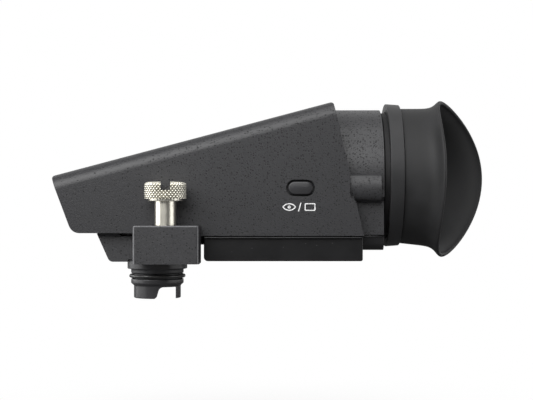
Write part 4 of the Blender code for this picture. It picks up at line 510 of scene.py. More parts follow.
barrel_front = rear_x(AXIS_Z + BARREL_RADIUS) + CASE_GAP
barrel_foot = DECK_Z + CASE_GAP
barrel_case = carried("barrel_case", barrel_line(0, barrel_foot), barrel_front, BARREL_END, "X")

bulge_turn = np.linspace(-math.pi / 2, math.pi / 2, 41)
bulge = (LOBE_BULGE + LAP) * np.maximum(np.cos(bulge_turn), 0) ** 0.7
lobe_z = LOBE_MIDDLE + (LOBE_TOP - LOBE_LOW) / 2 * np.sin(bulge_turn)
round_turn = np.linspace(0, math.pi / 2, 12)
corner_arc = np.stack([LOBE_FRONT + LOBE_ROUND * (1 - np.sin(round_turn)),
                       LOBE_LOW + LOBE_ROUND * (1 - np.cos(round_turn))], axis=1)
corner_line = np.concatenate([corner_arc, [(LOBE_FRONT - PAST, LOBE_LOW + LOBE_ROUND),
                                           (LOBE_FRONT - PAST, LOBE_LOW - PAST),
                                           (LOBE_FRONT + LOBE_ROUND, LOBE_LOW - PAST)]])
lobes = []
for side in (-1, 1):
    outer = np.stack([side * (BARREL_RADIUS - LAP + bulge), lobe_z], axis=1)
    back = side * (BARREL_WAIST - PAST)
    lobe_line = np.concatenate([outer, [(back, LOBE_TOP), (back, LOBE_LOW)]])
    lobe = carried("lobe", lobe_line, LOBE_FRONT, LOBE_END, "X")
    reach = sorted((side * (BARREL_WAIST + 0.3 * MM), side * (BARREL_RADIUS + 6 * MM)))
    carve(lobe, [carried("corner", corner_line, *reach)])
    lobes.append(lobe)
carve(barrel_case, lobes, "UNION")

wall_half = inner_half - 0.15 * MM
wall_top = roof_z(ROOF_END_X - 2 * MM) - 2 * MM
wall_line = rounded_line(rectangle((-wall_half, barrel_foot), (wall_half, wall_top)),
                         (0, 0, REAR_ROUND, REAR_ROUND))
rear_wall = carried("rear_wall", wall_line, barrel_front - 5 * MM, BARREL_END, "X")
slab_top = 60 * MM
slab_line = np.array([(rear_x(z) - REAR_INSET + step, z)
                      for step, z in rectangle((0, 0), (REAR_WALL, slab_top))])
carve(rear_wall, [carried("slab", slab_line, -30 * MM, 30 * MM)], "INTERSECT")
carve(rear_wall, [carried("opening", barrel_line(LAP, 0), barrel_front - 8 * MM, BARREL_END + PAST, "X")])
carve(barrel_case, [rear_wall], "UNION")
barrel_hollow = carried("barrel_hollow", barrel_line(BARREL_WALL, barrel_foot - PAST),
                        barrel_front - PAST, BARREL_END - BARREL_WALL, "X")
tube_hole = post("tube_hole", BARREL_END - 3 * MM, BARREL_END + PAST, TUBE_SEAT, (0, AXIS_Z), "X", 96)
dial_seat = post("dial_seat", 24.6 * MM, 27.6 * MM, DIAL_SEAT, DIAL_SPOT, "Y", 64)
carve(barrel_case, [barrel_hollow, tube_hole, dial_seat])
# A paler copy of the case paint that stands in for the brighter light on the barrel: painted light.
lit_barrel_paint = speckled_paint("lit_barrel_paint", (0.023, 0.023, 0.025), 0.50, 0.2)
complete(barrel_case, lit_barrel_paint, "head", "barrel_shell", edge=0.35 * MM)


# Turning ring behind the barrel. Satin black moulding with its two edges rounded off.
def satin_black(name, tone, roughness, wear):
    """Black moulding: fine spark texture, faint cloudy tone and a few pale dust specks."""
    material, shader, place = new_finish(name, specular_ior_level=0.4)
    cloud = place.noise(120)
    texture = place.noise(5200, 1)
    dust = place.spots(1300, wear, 0.1, 0.2)
    moulded = cloud.tint(shade(tone, 0.7), shade(tone, 1.3))
    feed_all(shader, base_color=(dust * 0.5).tint(moulded, (0.16, 0.16, 0.165)),
             roughness=roughness - 0.06 + 0.12 * cloud + 0.2 * dust, normal=texture.bump(0.12, 0.02 * MM))
    return material


ring_black = satin_black("ring_black", (0.020, 0.020, 0.021), 0.54, 0.02)
RING_FRONT, RING_STEP, RING_END, RING_BORE = mm(81.1, 83.9, 85.95, 22.9)
RING_SEAT, RING_RADIUS, RING_TAPER = mm(24.5, 25.9, 0.35)
ring_line = rounded_line([(RING_FRONT, RING_BORE), (RING_FRONT, RING_RADIUS),
                          (RING_END, RING_RADIUS - RING_TAPER), (RING_END, RING_SEAT),
                          (RING_STEP, RING_SEAT), (RING_STEP, RING_BORE)], mm(0, 0.3, 0.2, 0.2, 0, 0))
turning_ring = turned("turning_ring", ring_line, 160)
complete(turning_ring, ring_black, "cup", "eyecup_ring")


# Collar that the rubber is stretched over. A black moulding with a flange behind the ring.
COLLAR_FRONT, COLLAR_END, COLLAR_BORE = mm(85.7, 91.0, 19.1)
SLEEVE_RADIUS, FLANGE_RADIUS = mm(22.0, 24.2)
collar_line = rounded_line([(COLLAR_FRONT, COLLAR_BORE), (COLLAR_FRONT, FLANGE_RADIUS),
                            (RING_END, FLANGE_RADIUS), (RING_END, SLEEVE_RADIUS),
                            (COLLAR_END, SLEEVE_RADIUS), (COLLAR_END, COLLAR_BORE)],
                           mm(0.1, 0.1, 0, 0, 0.5, 0.5))
rubber_collar = turned("rubber_collar", collar_line, 128)
# Near-black for inner mouldings, made darker still to stand in for the shadow in the neck's gap:
# painted shade.
inner_black_painted_shade = satin_black("inner_black_painted_shade", (0.004, 0.004, 0.0045), 0.66, 0.0)
complete(rubber_collar, inner_black_painted_shade, "cup", "cup_collar")


# Eyecup. One soft rubber moulding: a short tube that flares into a rim, drawn out on the far
# side into a wing that keeps side light off the eye, with a rounded lip.
CUP_FRONT, CUP_LEVEL, CUP_LIP, CUP_BORE = mm(86.2, 102.0, 1.5, 22.3)
CUP_TUBE, CUP_RIM = mm(24.45, 28.36)
WING_REACH, NEAR_REACH = mm(18.7, 2.6)
WING_TURN = math.radians(3)


def cup_side(angle, share):
    """Place and radius of the cup's outside. The rim stays near its level on the near half and is
    drawn out into a wing on the far half. The wall flares late and levels out at the rim, and
    underneath it also widens evenly all the way."""
    side = np.sin(angle - WING_TURN)
    reach = (WING_REACH * (side ** 2 + side) - NEAR_REACH * (side ** 2 - side)) / 2
    rim = CUP_LEVEL + reach + 0.4 * MM * np.cos(angle)
    tube_radius = CUP_TUBE - 0.25 * MM * np.cos(angle)
    rim_radius = CUP_RIM - 1.37 * MM * np.cos(angle)
    late = np.sin(math.pi / 2 * share ** 8.0)
    flare = late + 0.17 * (1 - np.cos(angle)) * (share - late)
    return CUP_FRONT + (rim - CUP_FRONT) * share, tube_radius + (rim_radius - tube_radius) * flare


cup_angle = full_turn(216)[None, :]
cup_share = (np.linspace(0, 1, 64) ** 0.8)[:, None]
outside_x, outside_radius = cup_side(cup_angle, cup_share)
tube_wall = outside_radius[:1] - CUP_BORE
cup_wall = tube_wall * (1 - cup_share) + CUP_LIP * cup_share
lip_turn = np.linspace(0, math.pi, 15)[1:-1, None]
lip_x = outside_x[-1:] + 0.45 * CUP_LIP * np.sin(lip_turn)
lip_radius = outside_radius[-1:] - CUP_LIP * (1 - np.cos(lip_turn)) / 2
cup_x = np.concatenate([outside_x, lip_x, outside_x[::-1]])
cup_radius = np.concatenate([outside_radius, lip_radius, (outside_radius - cup_wall)[::-1]])
cup_points = around(cup_x, cup_radius, cup_angle)
rubber_cup = add_shape("rubber_cup", cup_points, grid_faces(*cup_points.shape[:2], True, True))

# Black rubber: dull, finely grained, a little greyer where it is handled.
rubber_black, shader, place = new_finish("rubber_black", specular_ior_level=0.35)
cloud = place.noise(70, 3)
grain = place.noise(2600, 2)
bloom = cloud.band(0.45, 0.75)
feed_all(shader, base_color=bloom.tint((0.013, 0.013, 0.0135), (0.021, 0.021, 0.022)),
         roughness=0.6 + 0.12 * bloom + 0.06 * grain, normal=(grain + cloud).bump(0.1, 0.03 * MM))
complete(rubber_cup, rubber_black, "cup", "eyecup", sharp=60)


# Lower cover and chin. Two darker mouldings in satin black that close the underside, the cover
# held by two screws from below and the chin clipped in under the barrel.
def box(name, low, high):
    return carried(name, rectangle((low[0], low[2]), (high[0], high[2])), low[1], high[1])


def seam_bead(name, front, end, half, top):
    """A thin rounded strip that stands out along the top of a moulding, under the seam above it."""
    return cushion(name, rectangle((front, top - SEAM_HEIGHT), (end, top)), -half, half, SEAM_EDGE)


SEAM_HEIGHT, SEAM_EDGE = mm(0.5, 0.24)
COVER_FRONT, COVER_END, COVER_LOW, COVER_TOP = mm(16.5, 71.3, 0.3, 8.7)
COVER_HALF, COVER_WALL = mm(26.5, 1.5)
COVER_SCREW = (44.0 * MM, 20.5 * MM)
cover_black = satin_black("cover_black", (0.007, 0.007, 0.0075), 0.30, 0.03)
cover_line = rounded_line(rectangle((COVER_FRONT, COVER_LOW), (COVER_END, COVER_TOP)),
                          mm(1.4, 0.7, 0.3, 0.3))
lower_cover = cushion("lower_cover_case", cover_line, -COVER_HALF, COVER_HALF, 0.4 * MM)
carve(lower_cover, [seam_bead("cover_seam", COVER_FRONT + 0.1 * MM, COVER_END - 0.1 * MM,
                              CASE_HALF - 0.3 * MM, COVER_TOP)], "UNION")
room_half = COVER_HALF - COVER_WALL
carve(lower_cover, [box("cover_room", (COVER_FRONT + COVER_WALL, -room_half, COVER_LOW + COVER_WALL),
                        (COVER_END - COVER_WALL, room_half, COVER_TOP + PAST))])
lip = [box("cover_lip", mm(13, -10.6, 5.5), mm(17.25, 22, 8.7)),
       box("lip_rise", mm(13.1, -10.5, 8.5), mm(15.3, 21.9, 9.8))]
screw_spots = [(COVER_SCREW[0], side * COVER_SCREW[1]) for side in (-1, 1)]
carve(lower_cover, lip + [post("screw_post", *mm(0.6, 8.7, 3.4), spot) for spot in screw_spots], "UNION")
carve(lower_cover, [post("sink", *sizes, spot) for spot in screw_spots
                    for sizes in (mm(-0.7, 2.3, 2.3), mm(0.3, 9.7, 1.2))])
complete(lower_cover, cover_black, "head", "lower_cover")

CHIN_FRONT, CHIN_HALF, CHIN_LOW, CHIN_ROUND = mm(71.6, 21.0, 3.9, 2.5)
CHIN_WALL = 1.4 * MM
chin_line = rounded_line([(-CHIN_HALF, DECK_Z), (-CHIN_HALF, CHIN_LOW), (CHIN_HALF, CHIN_LOW),
                          (CHIN_HALF, DECK_Z)], (0, CHIN_ROUND, CHIN_ROUND, 0), 10)
chin = cushion("chin", chin_line, CHIN_FRONT, BARREL_END, 0.2 * MM, "X")
carve(chin, [seam_bead("chin_seam", CHIN_FRONT, BARREL_END, CHIN_HALF + 0.4 * MM, DECK_Z)], "UNION")
room_half = CHIN_HALF - CHIN_WALL
carve(chin, [box("chin_room", (CHIN_FRONT + CHIN_WALL, -room_half, CHIN_LOW + CHIN_WALL),
                 (BARREL_END - CHIN_WALL, room_half, DECK_Z + PAST))])
complete(chin, cover_black, "head", "rear_chin")


# Mount foot. A casting in a slightly paler coat of the same paint, one block with the lug of
# the thumbscrew and cut out for hinge, cable and connector. The lug's near edges carry a painted highlight.
LUG_LEFT, LUG_RIGHT, LUG_TOP, LUG_NEAR = mm(-6.5, 15.65, 12.8, -42.5)
LUG_FAR, LUG_ROUND, LUG_SHOULDER = mm(-28.5, 1.1, 0.9)
FOOT_HALF, FOOT_REAR, FOOT_TOP = mm(24.0, 12.0, 8.9)
NOSE_REST = 9.8 * MM
HINGE_SPOT = (-15.5 * MM, 4.5 * MM)
ARM_Y, ARM_ROOM = mm(14.5, 2.6)
PLUG_SPOT = (0.0, -20.0 * MM)
SCREW_SPOT = (4.0 * MM, -36.0 * MM)


def painted_edge_highlight(place):
    """Painted highlight on the lug's upright corners and top edge, near face only: close to its sides or
    top.
    """
    across, along, height = axes(place)
    off_middle = (across - (LUG_LEFT + LUG_RIGHT) / 2).maths("ABSOLUTE")
    half = (LUG_RIGHT - LUG_LEFT) / 2
    inside_corner = 1 - off_middle.band(half - 0.3 * MM, half - 0.1 * MM)
    corners = off_middle.band(half - 0.75 * MM, half - 0.4 * MM) * inside_corner
    top = 1 - off_middle.band(half - 0.5 * MM, half)
    top = height.band(LUG_TOP - 0.5 * MM, LUG_TOP - 0.25 * MM) * top
    near = 1 - along.band(LUG_NEAR + 0.6 * MM, LUG_NEAR + 1.3 * MM)
    return near * top.maths("MAXIMUM", 0.7 * corners)


foot_paint = speckled_paint("foot_paint", (0.024, 0.024, 0.026), 0.26, 1.0, painted_edge_highlight)
slab_line = rounded_line([(-20.7 * MM, NOSE_REST), (-16.289 * MM, 0), (FOOT_REAR, 0),
                          (FOOT_REAR, FOOT_TOP), (-12.3 * MM, FOOT_TOP), (-12.9 * MM, NOSE_REST)],
                         mm(0, 1.9, 0, 0, 0, 0))
foot_casting = carried("foot_casting", slab_line, -FOOT_HALF, FOOT_HALF)
lug_line = rounded_line(rectangle((LUG_LEFT, LUG_NEAR), (LUG_RIGHT, LUG_FAR)),
                        (LUG_ROUND, LUG_ROUND, 0, 0), 8)
lug = carried("lug", lug_line, 0, LUG_TOP, "Z")
front_line = rounded_line(rectangle((LUG_LEFT, 0), (LUG_RIGHT, LUG_TOP)),
                          (0, 0, LUG_SHOULDER, LUG_SHOULDER), 8)
carve(lug, [carried("lug_front", front_line, LUG_NEAR - 0.5 * MM, LUG_FAR + 0.5 * MM)], "INTERSECT")
sill = box("sill", (-6.4 * MM, SCREW_SPOT[1], 0), (14.8 * MM, -12.6 * MM, FOOT_TOP))
carve(foot_casting, [lug, sill], "UNION")
soften(foot_casting, 0.6 * MM, 4, 50)

foot_tools = [box("arm_notch", (-21.3 * MM, y - ARM_ROOM, 1.6 * MM), (-12.1 * MM, y + ARM_ROOM, 9.9 * MM))
              for y in (-ARM_Y, ARM_Y)]
foot_tools += [box("cable_notch", mm(-21.3, -7, 1.6), mm(-12.1, 7, 9.9)),
               box("pocket", mm(-10.1, -15, 2), mm(10, 22, 10.9)),
               box("gate", mm(-13.1, 0, 2), mm(-9.1, 5.6, 4.6)),
               post("near_bore", *mm(-21.4, -6, 1.5), HINGE_SPOT, "Y"),
               post("far_bore", *mm(6, 21.4, 1.5), HINGE_SPOT, "Y"),
               post("flange_seat", *mm(-1, 0.8, 10.7), PLUG_SPOT, steps=96),
               post("stem_bore", *mm(0.1, 12.8, 6.8), PLUG_SPOT, steps=96),
               post("chamber", *mm(-1, 10.9, 4.8), SCREW_SPOT, steps=72),
               post("shank_hole", *mm(9.9, 13.8, 3.9), SCREW_SPOT, steps=72)]
carve(foot_casting, foot_tools)
lid_spots = mm((7, -8), (7, 19))
carve(foot_casting, [post("lid_post", *mm(1, 7.4, 2), spot) for spot in lid_spots], "UNION")
carve(foot_casting, [post("lid_hole", *mm(3.4, 8.4, 1), spot) for spot in lid_spots])
complete(foot_casting, foot_paint, "foot", "mount_foot", sharp=30)


# Connector plug. A glossy black moulding with a flange, two ribs round the seal's groove and a
# keyed skirt; the seal is an oiled ring, and the contacts are gold pins in a block.
PLUG_TOP = 1.7 * MM
STEM_RADIUS = 6.5 * MM
BLOCK_SEAT = 5.3 * MM
PLUG_FLANGE = 10.4 * MM
FLANGE_TOP, FLANGE_LOW = mm(0.5, -2.45)
RIB_RADIUS, RIB_LOW, GROOVE_RADIUS = mm(9.15, -7.4, 8.5)
GROOVE_TOP, GROOVE_LOW = mm(-4.1, -5.8)
SKIRT_RADIUS, SKIRT_BORE, SKIRT_TOP, SKIRT_LOW = mm(8.15, 6.65, -8.3, -12.6)
plug_black = satin_black("plug_black", (0.032, 0.032, 0.034), 0.30, 0.0)
plug_line = rounded_line(
    [(PLUG_TOP, BLOCK_SEAT), (PLUG_TOP, STEM_RADIUS), (FLANGE_TOP, STEM_RADIUS), (FLANGE_TOP, PLUG_FLANGE),
     (FLANGE_LOW, PLUG_FLANGE), (FLANGE_LOW, RIB_RADIUS), (GROOVE_TOP, RIB_RADIUS),
     (GROOVE_TOP, GROOVE_RADIUS), (GROOVE_LOW, GROOVE_RADIUS), (GROOVE_LOW, RIB_RADIUS),
     (RIB_LOW, RIB_RADIUS), (SKIRT_TOP, SKIRT_RADIUS), (SKIRT_LOW, SKIRT_RADIUS), (SKIRT_LOW, SKIRT_BORE),
     (SKIRT_TOP, SKIRT_BORE), (SKIRT_TOP, BLOCK_SEAT)],
    mm(0, 0.2, 0.2, 0.2, 0.3, 0.4, 0.5, 0.1, 0.1, 0.5, 0.5, 0.4, 0.35, 0.35, 0.2, 0.2), 8)
plug_case = turned("plug_case", plug_line, 144, "Z", PLUG_SPOT)
key_line = rounded_line(mm((-3, -14), (6.7, -14), (6.7, -8.6), (1.3, -8.6), (0.2, -12.61), (-3, -12.61)),
                        mm(0, 0, 0.3, 1.9, 1.3, 0), 10)
carve(plug_case, [carried("key_gap", key_line, PLUG_SPOT[1] - 9.5 * MM, PLUG_SPOT[1]),
                  box("far_gap", mm(-4, -20, -14), mm(6.7, -10.5, -8.4))])
complete(plug_case, plug_black, "foot", "plug_shell", sharp=40)

# Oiled black rubber: smooth, with faint moulding rings and a wet patchy shine.
oiled_rubber, shader, place = new_finish("seal_rubber", coat_roughness=0.08)
rings = place.stretched(1, 1, 30).noise(900, 1)
oil = place.noise(420)
feed_all(shader, base_color=rings.tint((0.006, 0.006, 0.006), (0.013, 0.013, 0.013)),
         roughness=0.34 + 0.18 * oil, coat_weight=oil.band(0.4, 0.62) * 0.6,
         normal=rings.bump(0.08, 0.02 * MM))
SEAL_MIDDLE, SEAL_HALF, SEAL_HALF_HEIGHT = mm(9.3005, 0.5005, 0.6)
seal_turn = full_turn(28)
seal_line = np.stack([(GROOVE_TOP + GROOVE_LOW) / 2 + SEAL_HALF_HEIGHT * np.sin(seal_turn),
                      SEAL_MIDDLE + SEAL_HALF * np.cos(seal_turn)], axis=1)
seal_ring = turned("seal_ring", seal_line, 144, "Z", PLUG_SPOT)
complete(seal_ring, oiled_rubber, "foot", "plug_seal", sharp=80)

contact_body = post("contact_body", *mm(-8, 1.7, 5), PLUG_SPOT, steps=96)
complete(contact_body, inner_black_painted_shade, "foot", "contact_block")


def worn_metal(name, tone, roughness, streak=(1, 1, 1), grime=(0.05, 0.045, 0.04), shaded_hollows=None):
    """Bare or plated metal: fine tool lines drawn out along one way, cloudy tarnish, a little grime
    in patches, and painted shade in the recesses given by a rule for the place."""
    material, shader, place = new_finish(name, metallic=1.0)
    lines = place.stretched(*streak).noise(1400, 3)
    tarnish = place.noise(180, 4)
    dirt_and_shade = place.noise(640).band(0.66, 0.86)
    # Painted shade: the recesses a rule picks out are darkened to the grime colour.
    if shaded_hollows:
        dirt_and_shade = dirt_and_shade.maths("MAXIMUM", 1.8 * shaded_hollows(place))
    metal = tarnish.tint(shade(tone, 0.72), tone)
    feed_all(shader, base_color=(dirt_and_shade * 0.35).tint(metal, grime),
             roughness=roughness - 0.05 + 0.12 * lines + 0.1 * tarnish + 0.2 * dirt_and_shade,
             normal=lines.bump(0.08, 0.01 * MM))
    return material


def joined(name, shapes):
    """One object from shapes that don't touch."""
    points, faces = [], []
    for shape in shapes:
        faces += [[len(points) + index for index in face.vertices] for face in shape.data.polygons]
        points += [tuple(vertex.co) for vertex in shape.data.vertices]
        bpy.data.objects.remove(shape)
    return add_shape(name, points, faces)


PIN_COUNT = 12
PIN_CIRCLE = 3.4 * MM
pin_line = rounded_line(mm((-7.9, ON_AXIS), (-7.9, 0.45), (-8.7, 0.45), (-8.7, ON_AXIS)),
                        mm(0, 0, 0.25, 0), 5)
pins = []
for turn in (np.arange(PIN_COUNT) + 0.5) * 2 * math.pi / PIN_COUNT:
    pin_spot = (PLUG_SPOT[0] + PIN_CIRCLE * math.cos(turn), PLUG_SPOT[1] + PIN_CIRCLE * math.sin(turn))
    pins.append(turned("pin", pin_line, 20, "Z", pin_spot))
gold = worn_metal("contact_gold", (0.83, 0.60, 0.24), 0.22)
complete(joined("contact_pins", pins), gold, "foot")


# Thumbscrew. Turned brass with a dull champagne nickel plate: a head with a diamond knurl that
# runs over its rounded shoulder, a wide driver slot, a plain shank, the clip's groove and a thread.
HEAD_RADIUS = 7.1 * MM
SHOULDER_Z, SHOULDER_RISE, SHOULDER_WIDTH = mm(26.5, 1.1, 2.2)
KNURL_COUNT = 36
KNURL_PITCH, KNURL_DEPTH, KNURL_LOW = mm(1.33, 0.42, 21.8)


def shade_in_grooves(place):
    """Painted shade in the knurl's grooves: below the head's full radius, under its shoulder."""
    across, along, height = axes(place)
    across = across - SCREW_SPOT[0]
    along = along - SCREW_SPOT[1]
    radius = (across * across + along * along).maths("SQRT")
    below = (1 - radius.band(6.74 * MM, 7.0 * MM)) * (1 - height.band(26.4 * MM, 26.6 * MM))
    return radius.band(6.35 * MM, 6.5 * MM) * below


def valley(turns):
    """Depth of a V groove that comes once a turn, from 0 on the land to 1 at its bottom."""
    away = np.abs((turns % 1.0) - 0.5) * 2
    return np.clip(1.7 * away - 0.7, 0, 1)


def rise(place, low, high):
    """Rises evenly from 0 at low to 1 at high."""
    return np.clip((place - low) / (high - low), 0, 1)


def spun(name, place, radius, angle, along, spot):
    """A solid from rows of places and radii round an axis, its first and last row on the axis."""
    points = around(place, radius, angle, along, spot)
    return add_shape(name, points, grid_faces(*points.shape[:2], False, True))


shoulder = np.linspace(0, math.pi / 2, 13)[1:]
knurl_z = np.linspace(21.9 * MM, SHOULDER_Z, 48)
collar = mm((21.02, ON_AXIS), (21.02, 5.7), (21.08, 5.82), (21.16, 5.85), (21.84, 5.85), (21.86, 6.9))
top_z = SHOULDER_Z + SHOULDER_RISE * np.sin(shoulder)
top_radius = HEAD_RADIUS - SHOULDER_WIDTH * (1 - np.cos(shoulder))
head_z = np.concatenate([collar[:, 0], knurl_z, top_z, top_z[-1:]])[:, None]
head_radius = [collar[:, 1], np.full(48, HEAD_RADIUS), top_radius, [ON_AXIS * MM]]
head_radius = np.concatenate(head_radius)[:, None]
knurled = rise(head_z, 21.82 * MM, 21.9 * MM) * (1 - rise(head_z, 27.2 * MM, 27.5 * MM))
head_turn = full_turn(KNURL_COUNT * 14)[None, :]
climb = (head_z - KNURL_LOW) / KNURL_PITCH
share = KNURL_COUNT * head_turn / (2 * math.pi)
cut_depth = np.maximum(valley(share + climb), valley(share - climb))
screw = spun("screw", head_z, head_radius - KNURL_DEPTH * knurled * cut_depth, head_turn, "Z", SCREW_SPOT)

SHANK_RADIUS = 3.65
CORE_RADIUS = 2.45
THREAD_DEPTH, THREAD_PITCH, THREAD_TOP, THREAD_LOW = mm(0.42, 0.8, 9.0, 1.1)
thread_turn = full_turn(96)[None, :]
thread_z = np.linspace(THREAD_TOP, THREAD_LOW, 100)[:, None]
faded = rise(thread_z, THREAD_LOW, THREAD_LOW + THREAD_PITCH)
faded *= rise(-thread_z, -THREAD_TOP, THREAD_PITCH - THREAD_TOP)
tooth = 1 - np.abs(((thread_z / THREAD_PITCH - thread_turn / (2 * math.pi)) % 1.0) - 0.5) * 2
thread_radius = CORE_RADIUS * MM - THREAD_DEPTH * faded * (1 - tooth)
plain = mm((22, ON_AXIS), (22, SHANK_RADIUS), (11, SHANK_RADIUS), (10.75, SHANK_RADIUS),
           (10.6, SHANK_RADIUS - 0.15), (10.6, CORE_RADIUS), (9.4, CORE_RADIUS), (9.1, CORE_RADIUS))
tip = mm((0.85, 2.2), (0.75, 2.05), (0.75, ON_AXIS))
shank_z = np.concatenate([plain[:, :1], thread_z, tip[:, :1]])
still = 0 * thread_turn
shank_radius = np.concatenate([plain[:, 1:] + still, thread_radius, tip[:, 1:] + still])
carve(screw, [spun("shank", shank_z, shank_radius, thread_turn, "Z", SCREW_SPOT)], "UNION")

SLOT_TURN = math.radians(5)
SLOT_HALF = 1.65 * MM
slot_end = 8 * MM * np.array([math.sin(SLOT_TURN), -math.cos(SLOT_TURN)])
slot_side = SLOT_HALF * np.array([math.cos(SLOT_TURN), math.sin(SLOT_TURN)])
slot_line = SCREW_SPOT + np.array([slot_end - slot_side, slot_end + slot_side, slot_side - slot_end,
                                   -slot_side - slot_end])
carve(screw, [carried("driver_slot", slot_line, 24.7 * MM, 29 * MM, "Z")])
nickel = worn_metal("champagne_nickel", (0.91, 0.88, 0.77), 0.25, (1, 1, 24), (0.05, 0.045, 0.035),
                    shade_in_grooves)
complete(screw, nickel, "screw", "thumbscrew", sharp=50)


# Key on the near side. A satin black moulding: its oval face is slightly crowned, and a flange
# behind the wall keeps it in. It works a small switch through its stem.
KEY_LENGTH = 8.4
KEY_HEIGHT = 4.4
KEY_EDGE = 0.4
KEY_STEP = -25.9
KEY_SIDE = -27.7
KEY_CROWN = 0.13
KEY_DEPTH = 0.42
KEY_INSET = 3.5
key_rows = [(KEY_LENGTH + 2, KEY_HEIGHT + 1.8, -24.9), (KEY_LENGTH + 2, KEY_HEIGHT + 1.8, KEY_STEP),
            (KEY_LENGTH, KEY_HEIGHT, KEY_STEP)]
for turn in np.linspace(0, math.pi / 2, 7):
    inside = 2 * KEY_EDGE * (1 - math.cos(turn))
    key_rows.append((KEY_LENGTH - inside, KEY_HEIGHT - inside, KEY_SIDE - KEY_DEPTH * math.sin(turn)))
for part in np.linspace(0, 1, 9)[1:]:
    inside = 2 * KEY_EDGE + KEY_INSET * part
    face_y = KEY_SIDE - KEY_DEPTH - KEY_CROWN * math.sin(part * math.pi / 2)
    key_rows.append((KEY_LENGTH - inside, KEY_HEIGHT - inside, face_y))
key_cap = stacked("key_cap", [at_level(oval(length * MM, height * MM) + KEY_SPOT, y * MM)
                              for length, height, y in key_rows])
carve(key_cap, [post("key_stem", *mm(-25.2, -24, 1.2), KEY_SPOT, "Y")], "UNION")
key_black = satin_black("key_black", (0.024, 0.024, 0.026), 0.34, 0.03)
complete(key_cap, key_black, "button", "button_cap")


# Lens tube, retainer and glass. The tube is a black moulding that ends in the neck the ring
# turns on; a pressed ring holds it, and three coated lenses and a plain window sit inside.
tube_line = rounded_line(mm((34, 13.5), (34, 15), (52, 15), (52, 18.6), (79.3, 18.6), (79.3, 22.6),
                            (83.9, 22.6), (83.9, 18.3), (81.8, 18.3), (81.8, 17.1), (53.5, 17.1),
                            (53.5, 13.5)),
                         mm(0.2, 0.3, 0, 0.3, 0, 0.4, 0.4, 0.2, 0, 0.1, 0, 0))
neck_tube = turned("neck_tube", tube_line, 144)
carve(neck_tube, [box("fork_window", mm(67.268, 9.3, 23.3), mm(75.732, 19.6, 29.9))])
# The neck's near-black is partly painted shade for the gap beside the ring.
complete(neck_tube, inner_black_painted_shade, "head", "lens_tube")
retainer_line = rounded_line(mm((84.2, 17.1), (84.2, 24.2), (85.5, 24.2), (85.5, 17.1)),
                             mm(0.1, 0.2, 0.2, 0.3))
retainer = turned("retainer", retainer_line, 144)
complete(retainer, inner_black_painted_shade, "head", "ring_retainer")


def coated_glass(name, tone, coat_tint):
    """Clear glass with a coloured coating, faint smears and a few dust specks."""
    material, shader, place = new_finish(name, ior=1.52, transmission_weight=0.92, base_color=tone,
                                         coat_weight=0.5, coat_roughness=0.03, coat_tint=coat_tint)
    smear = place.stretched(1, 3, 1).noise(90, 4).band(0.45, 0.8)
    dust = place.spots(900, 0.02, 0.06, 0.12)
    feed_all(shader, roughness=0.015 + 0.05 * smear + 0.5 * dust)
    return material


def lens(name, material, radius, edges, bulges, body, node):
    """A lens from its edge's two places: each face bulges by an amount times one minus the square
    of its share of the radius. Sizes are in millimetres."""
    share = np.linspace(ON_AXIS, 1, 20)
    front = np.stack([edges[0] - bulges[0] * (1 - share ** 2), radius * share], axis=1)
    rear = np.stack([edges[1] + bulges[1] * (1 - share ** 2), radius * share], axis=1)[::-1]
    made = turned(name, np.concatenate([front, rear]) * MM, 128)
    complete(made, material, body, node)


lens_glass = coated_glass("lens_glass", (0.90, 0.93, 0.98), (0.55, 0.62, 1.0))
window_glass = coated_glass("window_glass", (0.93, 0.95, 0.97), (0.62, 1.0, 0.75))
lens("field_glass", lens_glass, 13.2, (39, 40.6), (1.2, 1.8), "head", "field_lens")
lens("inner_glass", lens_glass, 14.9, (63.6, 65.9), (1.6, -1.0), "focus", "inner_lens")
lens("eye_glass", lens_glass, 14.9, (67.7, 69.9), (-0.6, 2.2), "focus", "eye_lens")
lens("window_pane", window_glass, 18.0, (82.1, 83.6), (0, 0), "head", "eyepiece_window")


# Dioptre dial in the far lobe. A black moulding with straight grips round its edge, a dished
# face and a white index line let into it.
DIAL_RADIUS = 4.0
DIAL_EDGE = 0.6
DIAL_SIDE = 27.6
GRIP_COUNT = 18
GRIP_DEPTH = 0.3 * MM
dial_turn = full_turn(GRIP_COUNT * 12)[None, :]
dial_lines = [(24.9, ON_AXIS), (24.9, 3.85), (25.0, DIAL_RADIUS), (DIAL_SIDE, DIAL_RADIUS)]
dial_lines += [(DIAL_SIDE + DIAL_EDGE * math.sin(turn), DIAL_RADIUS - DIAL_EDGE * (1 - math.cos(turn)))
               for turn in np.linspace(0, math.pi / 2, 7)[1:]]
dial_lines += [(28.2, 3.0), (27.9, 2.6), (27.8, ON_AXIS)]
dial_y, dial_radius = mm(*dial_lines).T[:, :, None]
gripped = rise(dial_radius, 3.4 * MM, 3.8 * MM)
grip = GRIP_DEPTH * np.clip(1.6 * np.cos(GRIP_COUNT * dial_turn) - 0.5, 0, 1)
dial_knob = spun("dial_knob", dial_y, dial_radius - gripped * grip, dial_turn, "Y", DIAL_SPOT)
carve(dial_knob, [post("dial_shaft", *mm(19.3, 25.4, 1.4), DIAL_SPOT, "Y")], "UNION")
carve(dial_knob, [box("index", mm(71.25, 27.75, 26.9), mm(71.75, 29, 30.5))])
complete(dial_knob, key_black, "dial", "dioptre_dial")

# Printed white: slightly uneven, worn through here and there.
ink, shader, place = new_finish("white_ink")
wear = place.noise(900, 3).band(0.3, 0.5)
feed_all(shader, base_color=wear.tint((0.42, 0.42, 0.42), (0.80, 0.80, 0.80)), roughness=0.62 - 0.12 * wear)
index_fill = box("index_fill", mm(71.28, 27.72, 26.95), mm(71.72, 27.84, 29.0))
complete(index_fill, ink, "dial")


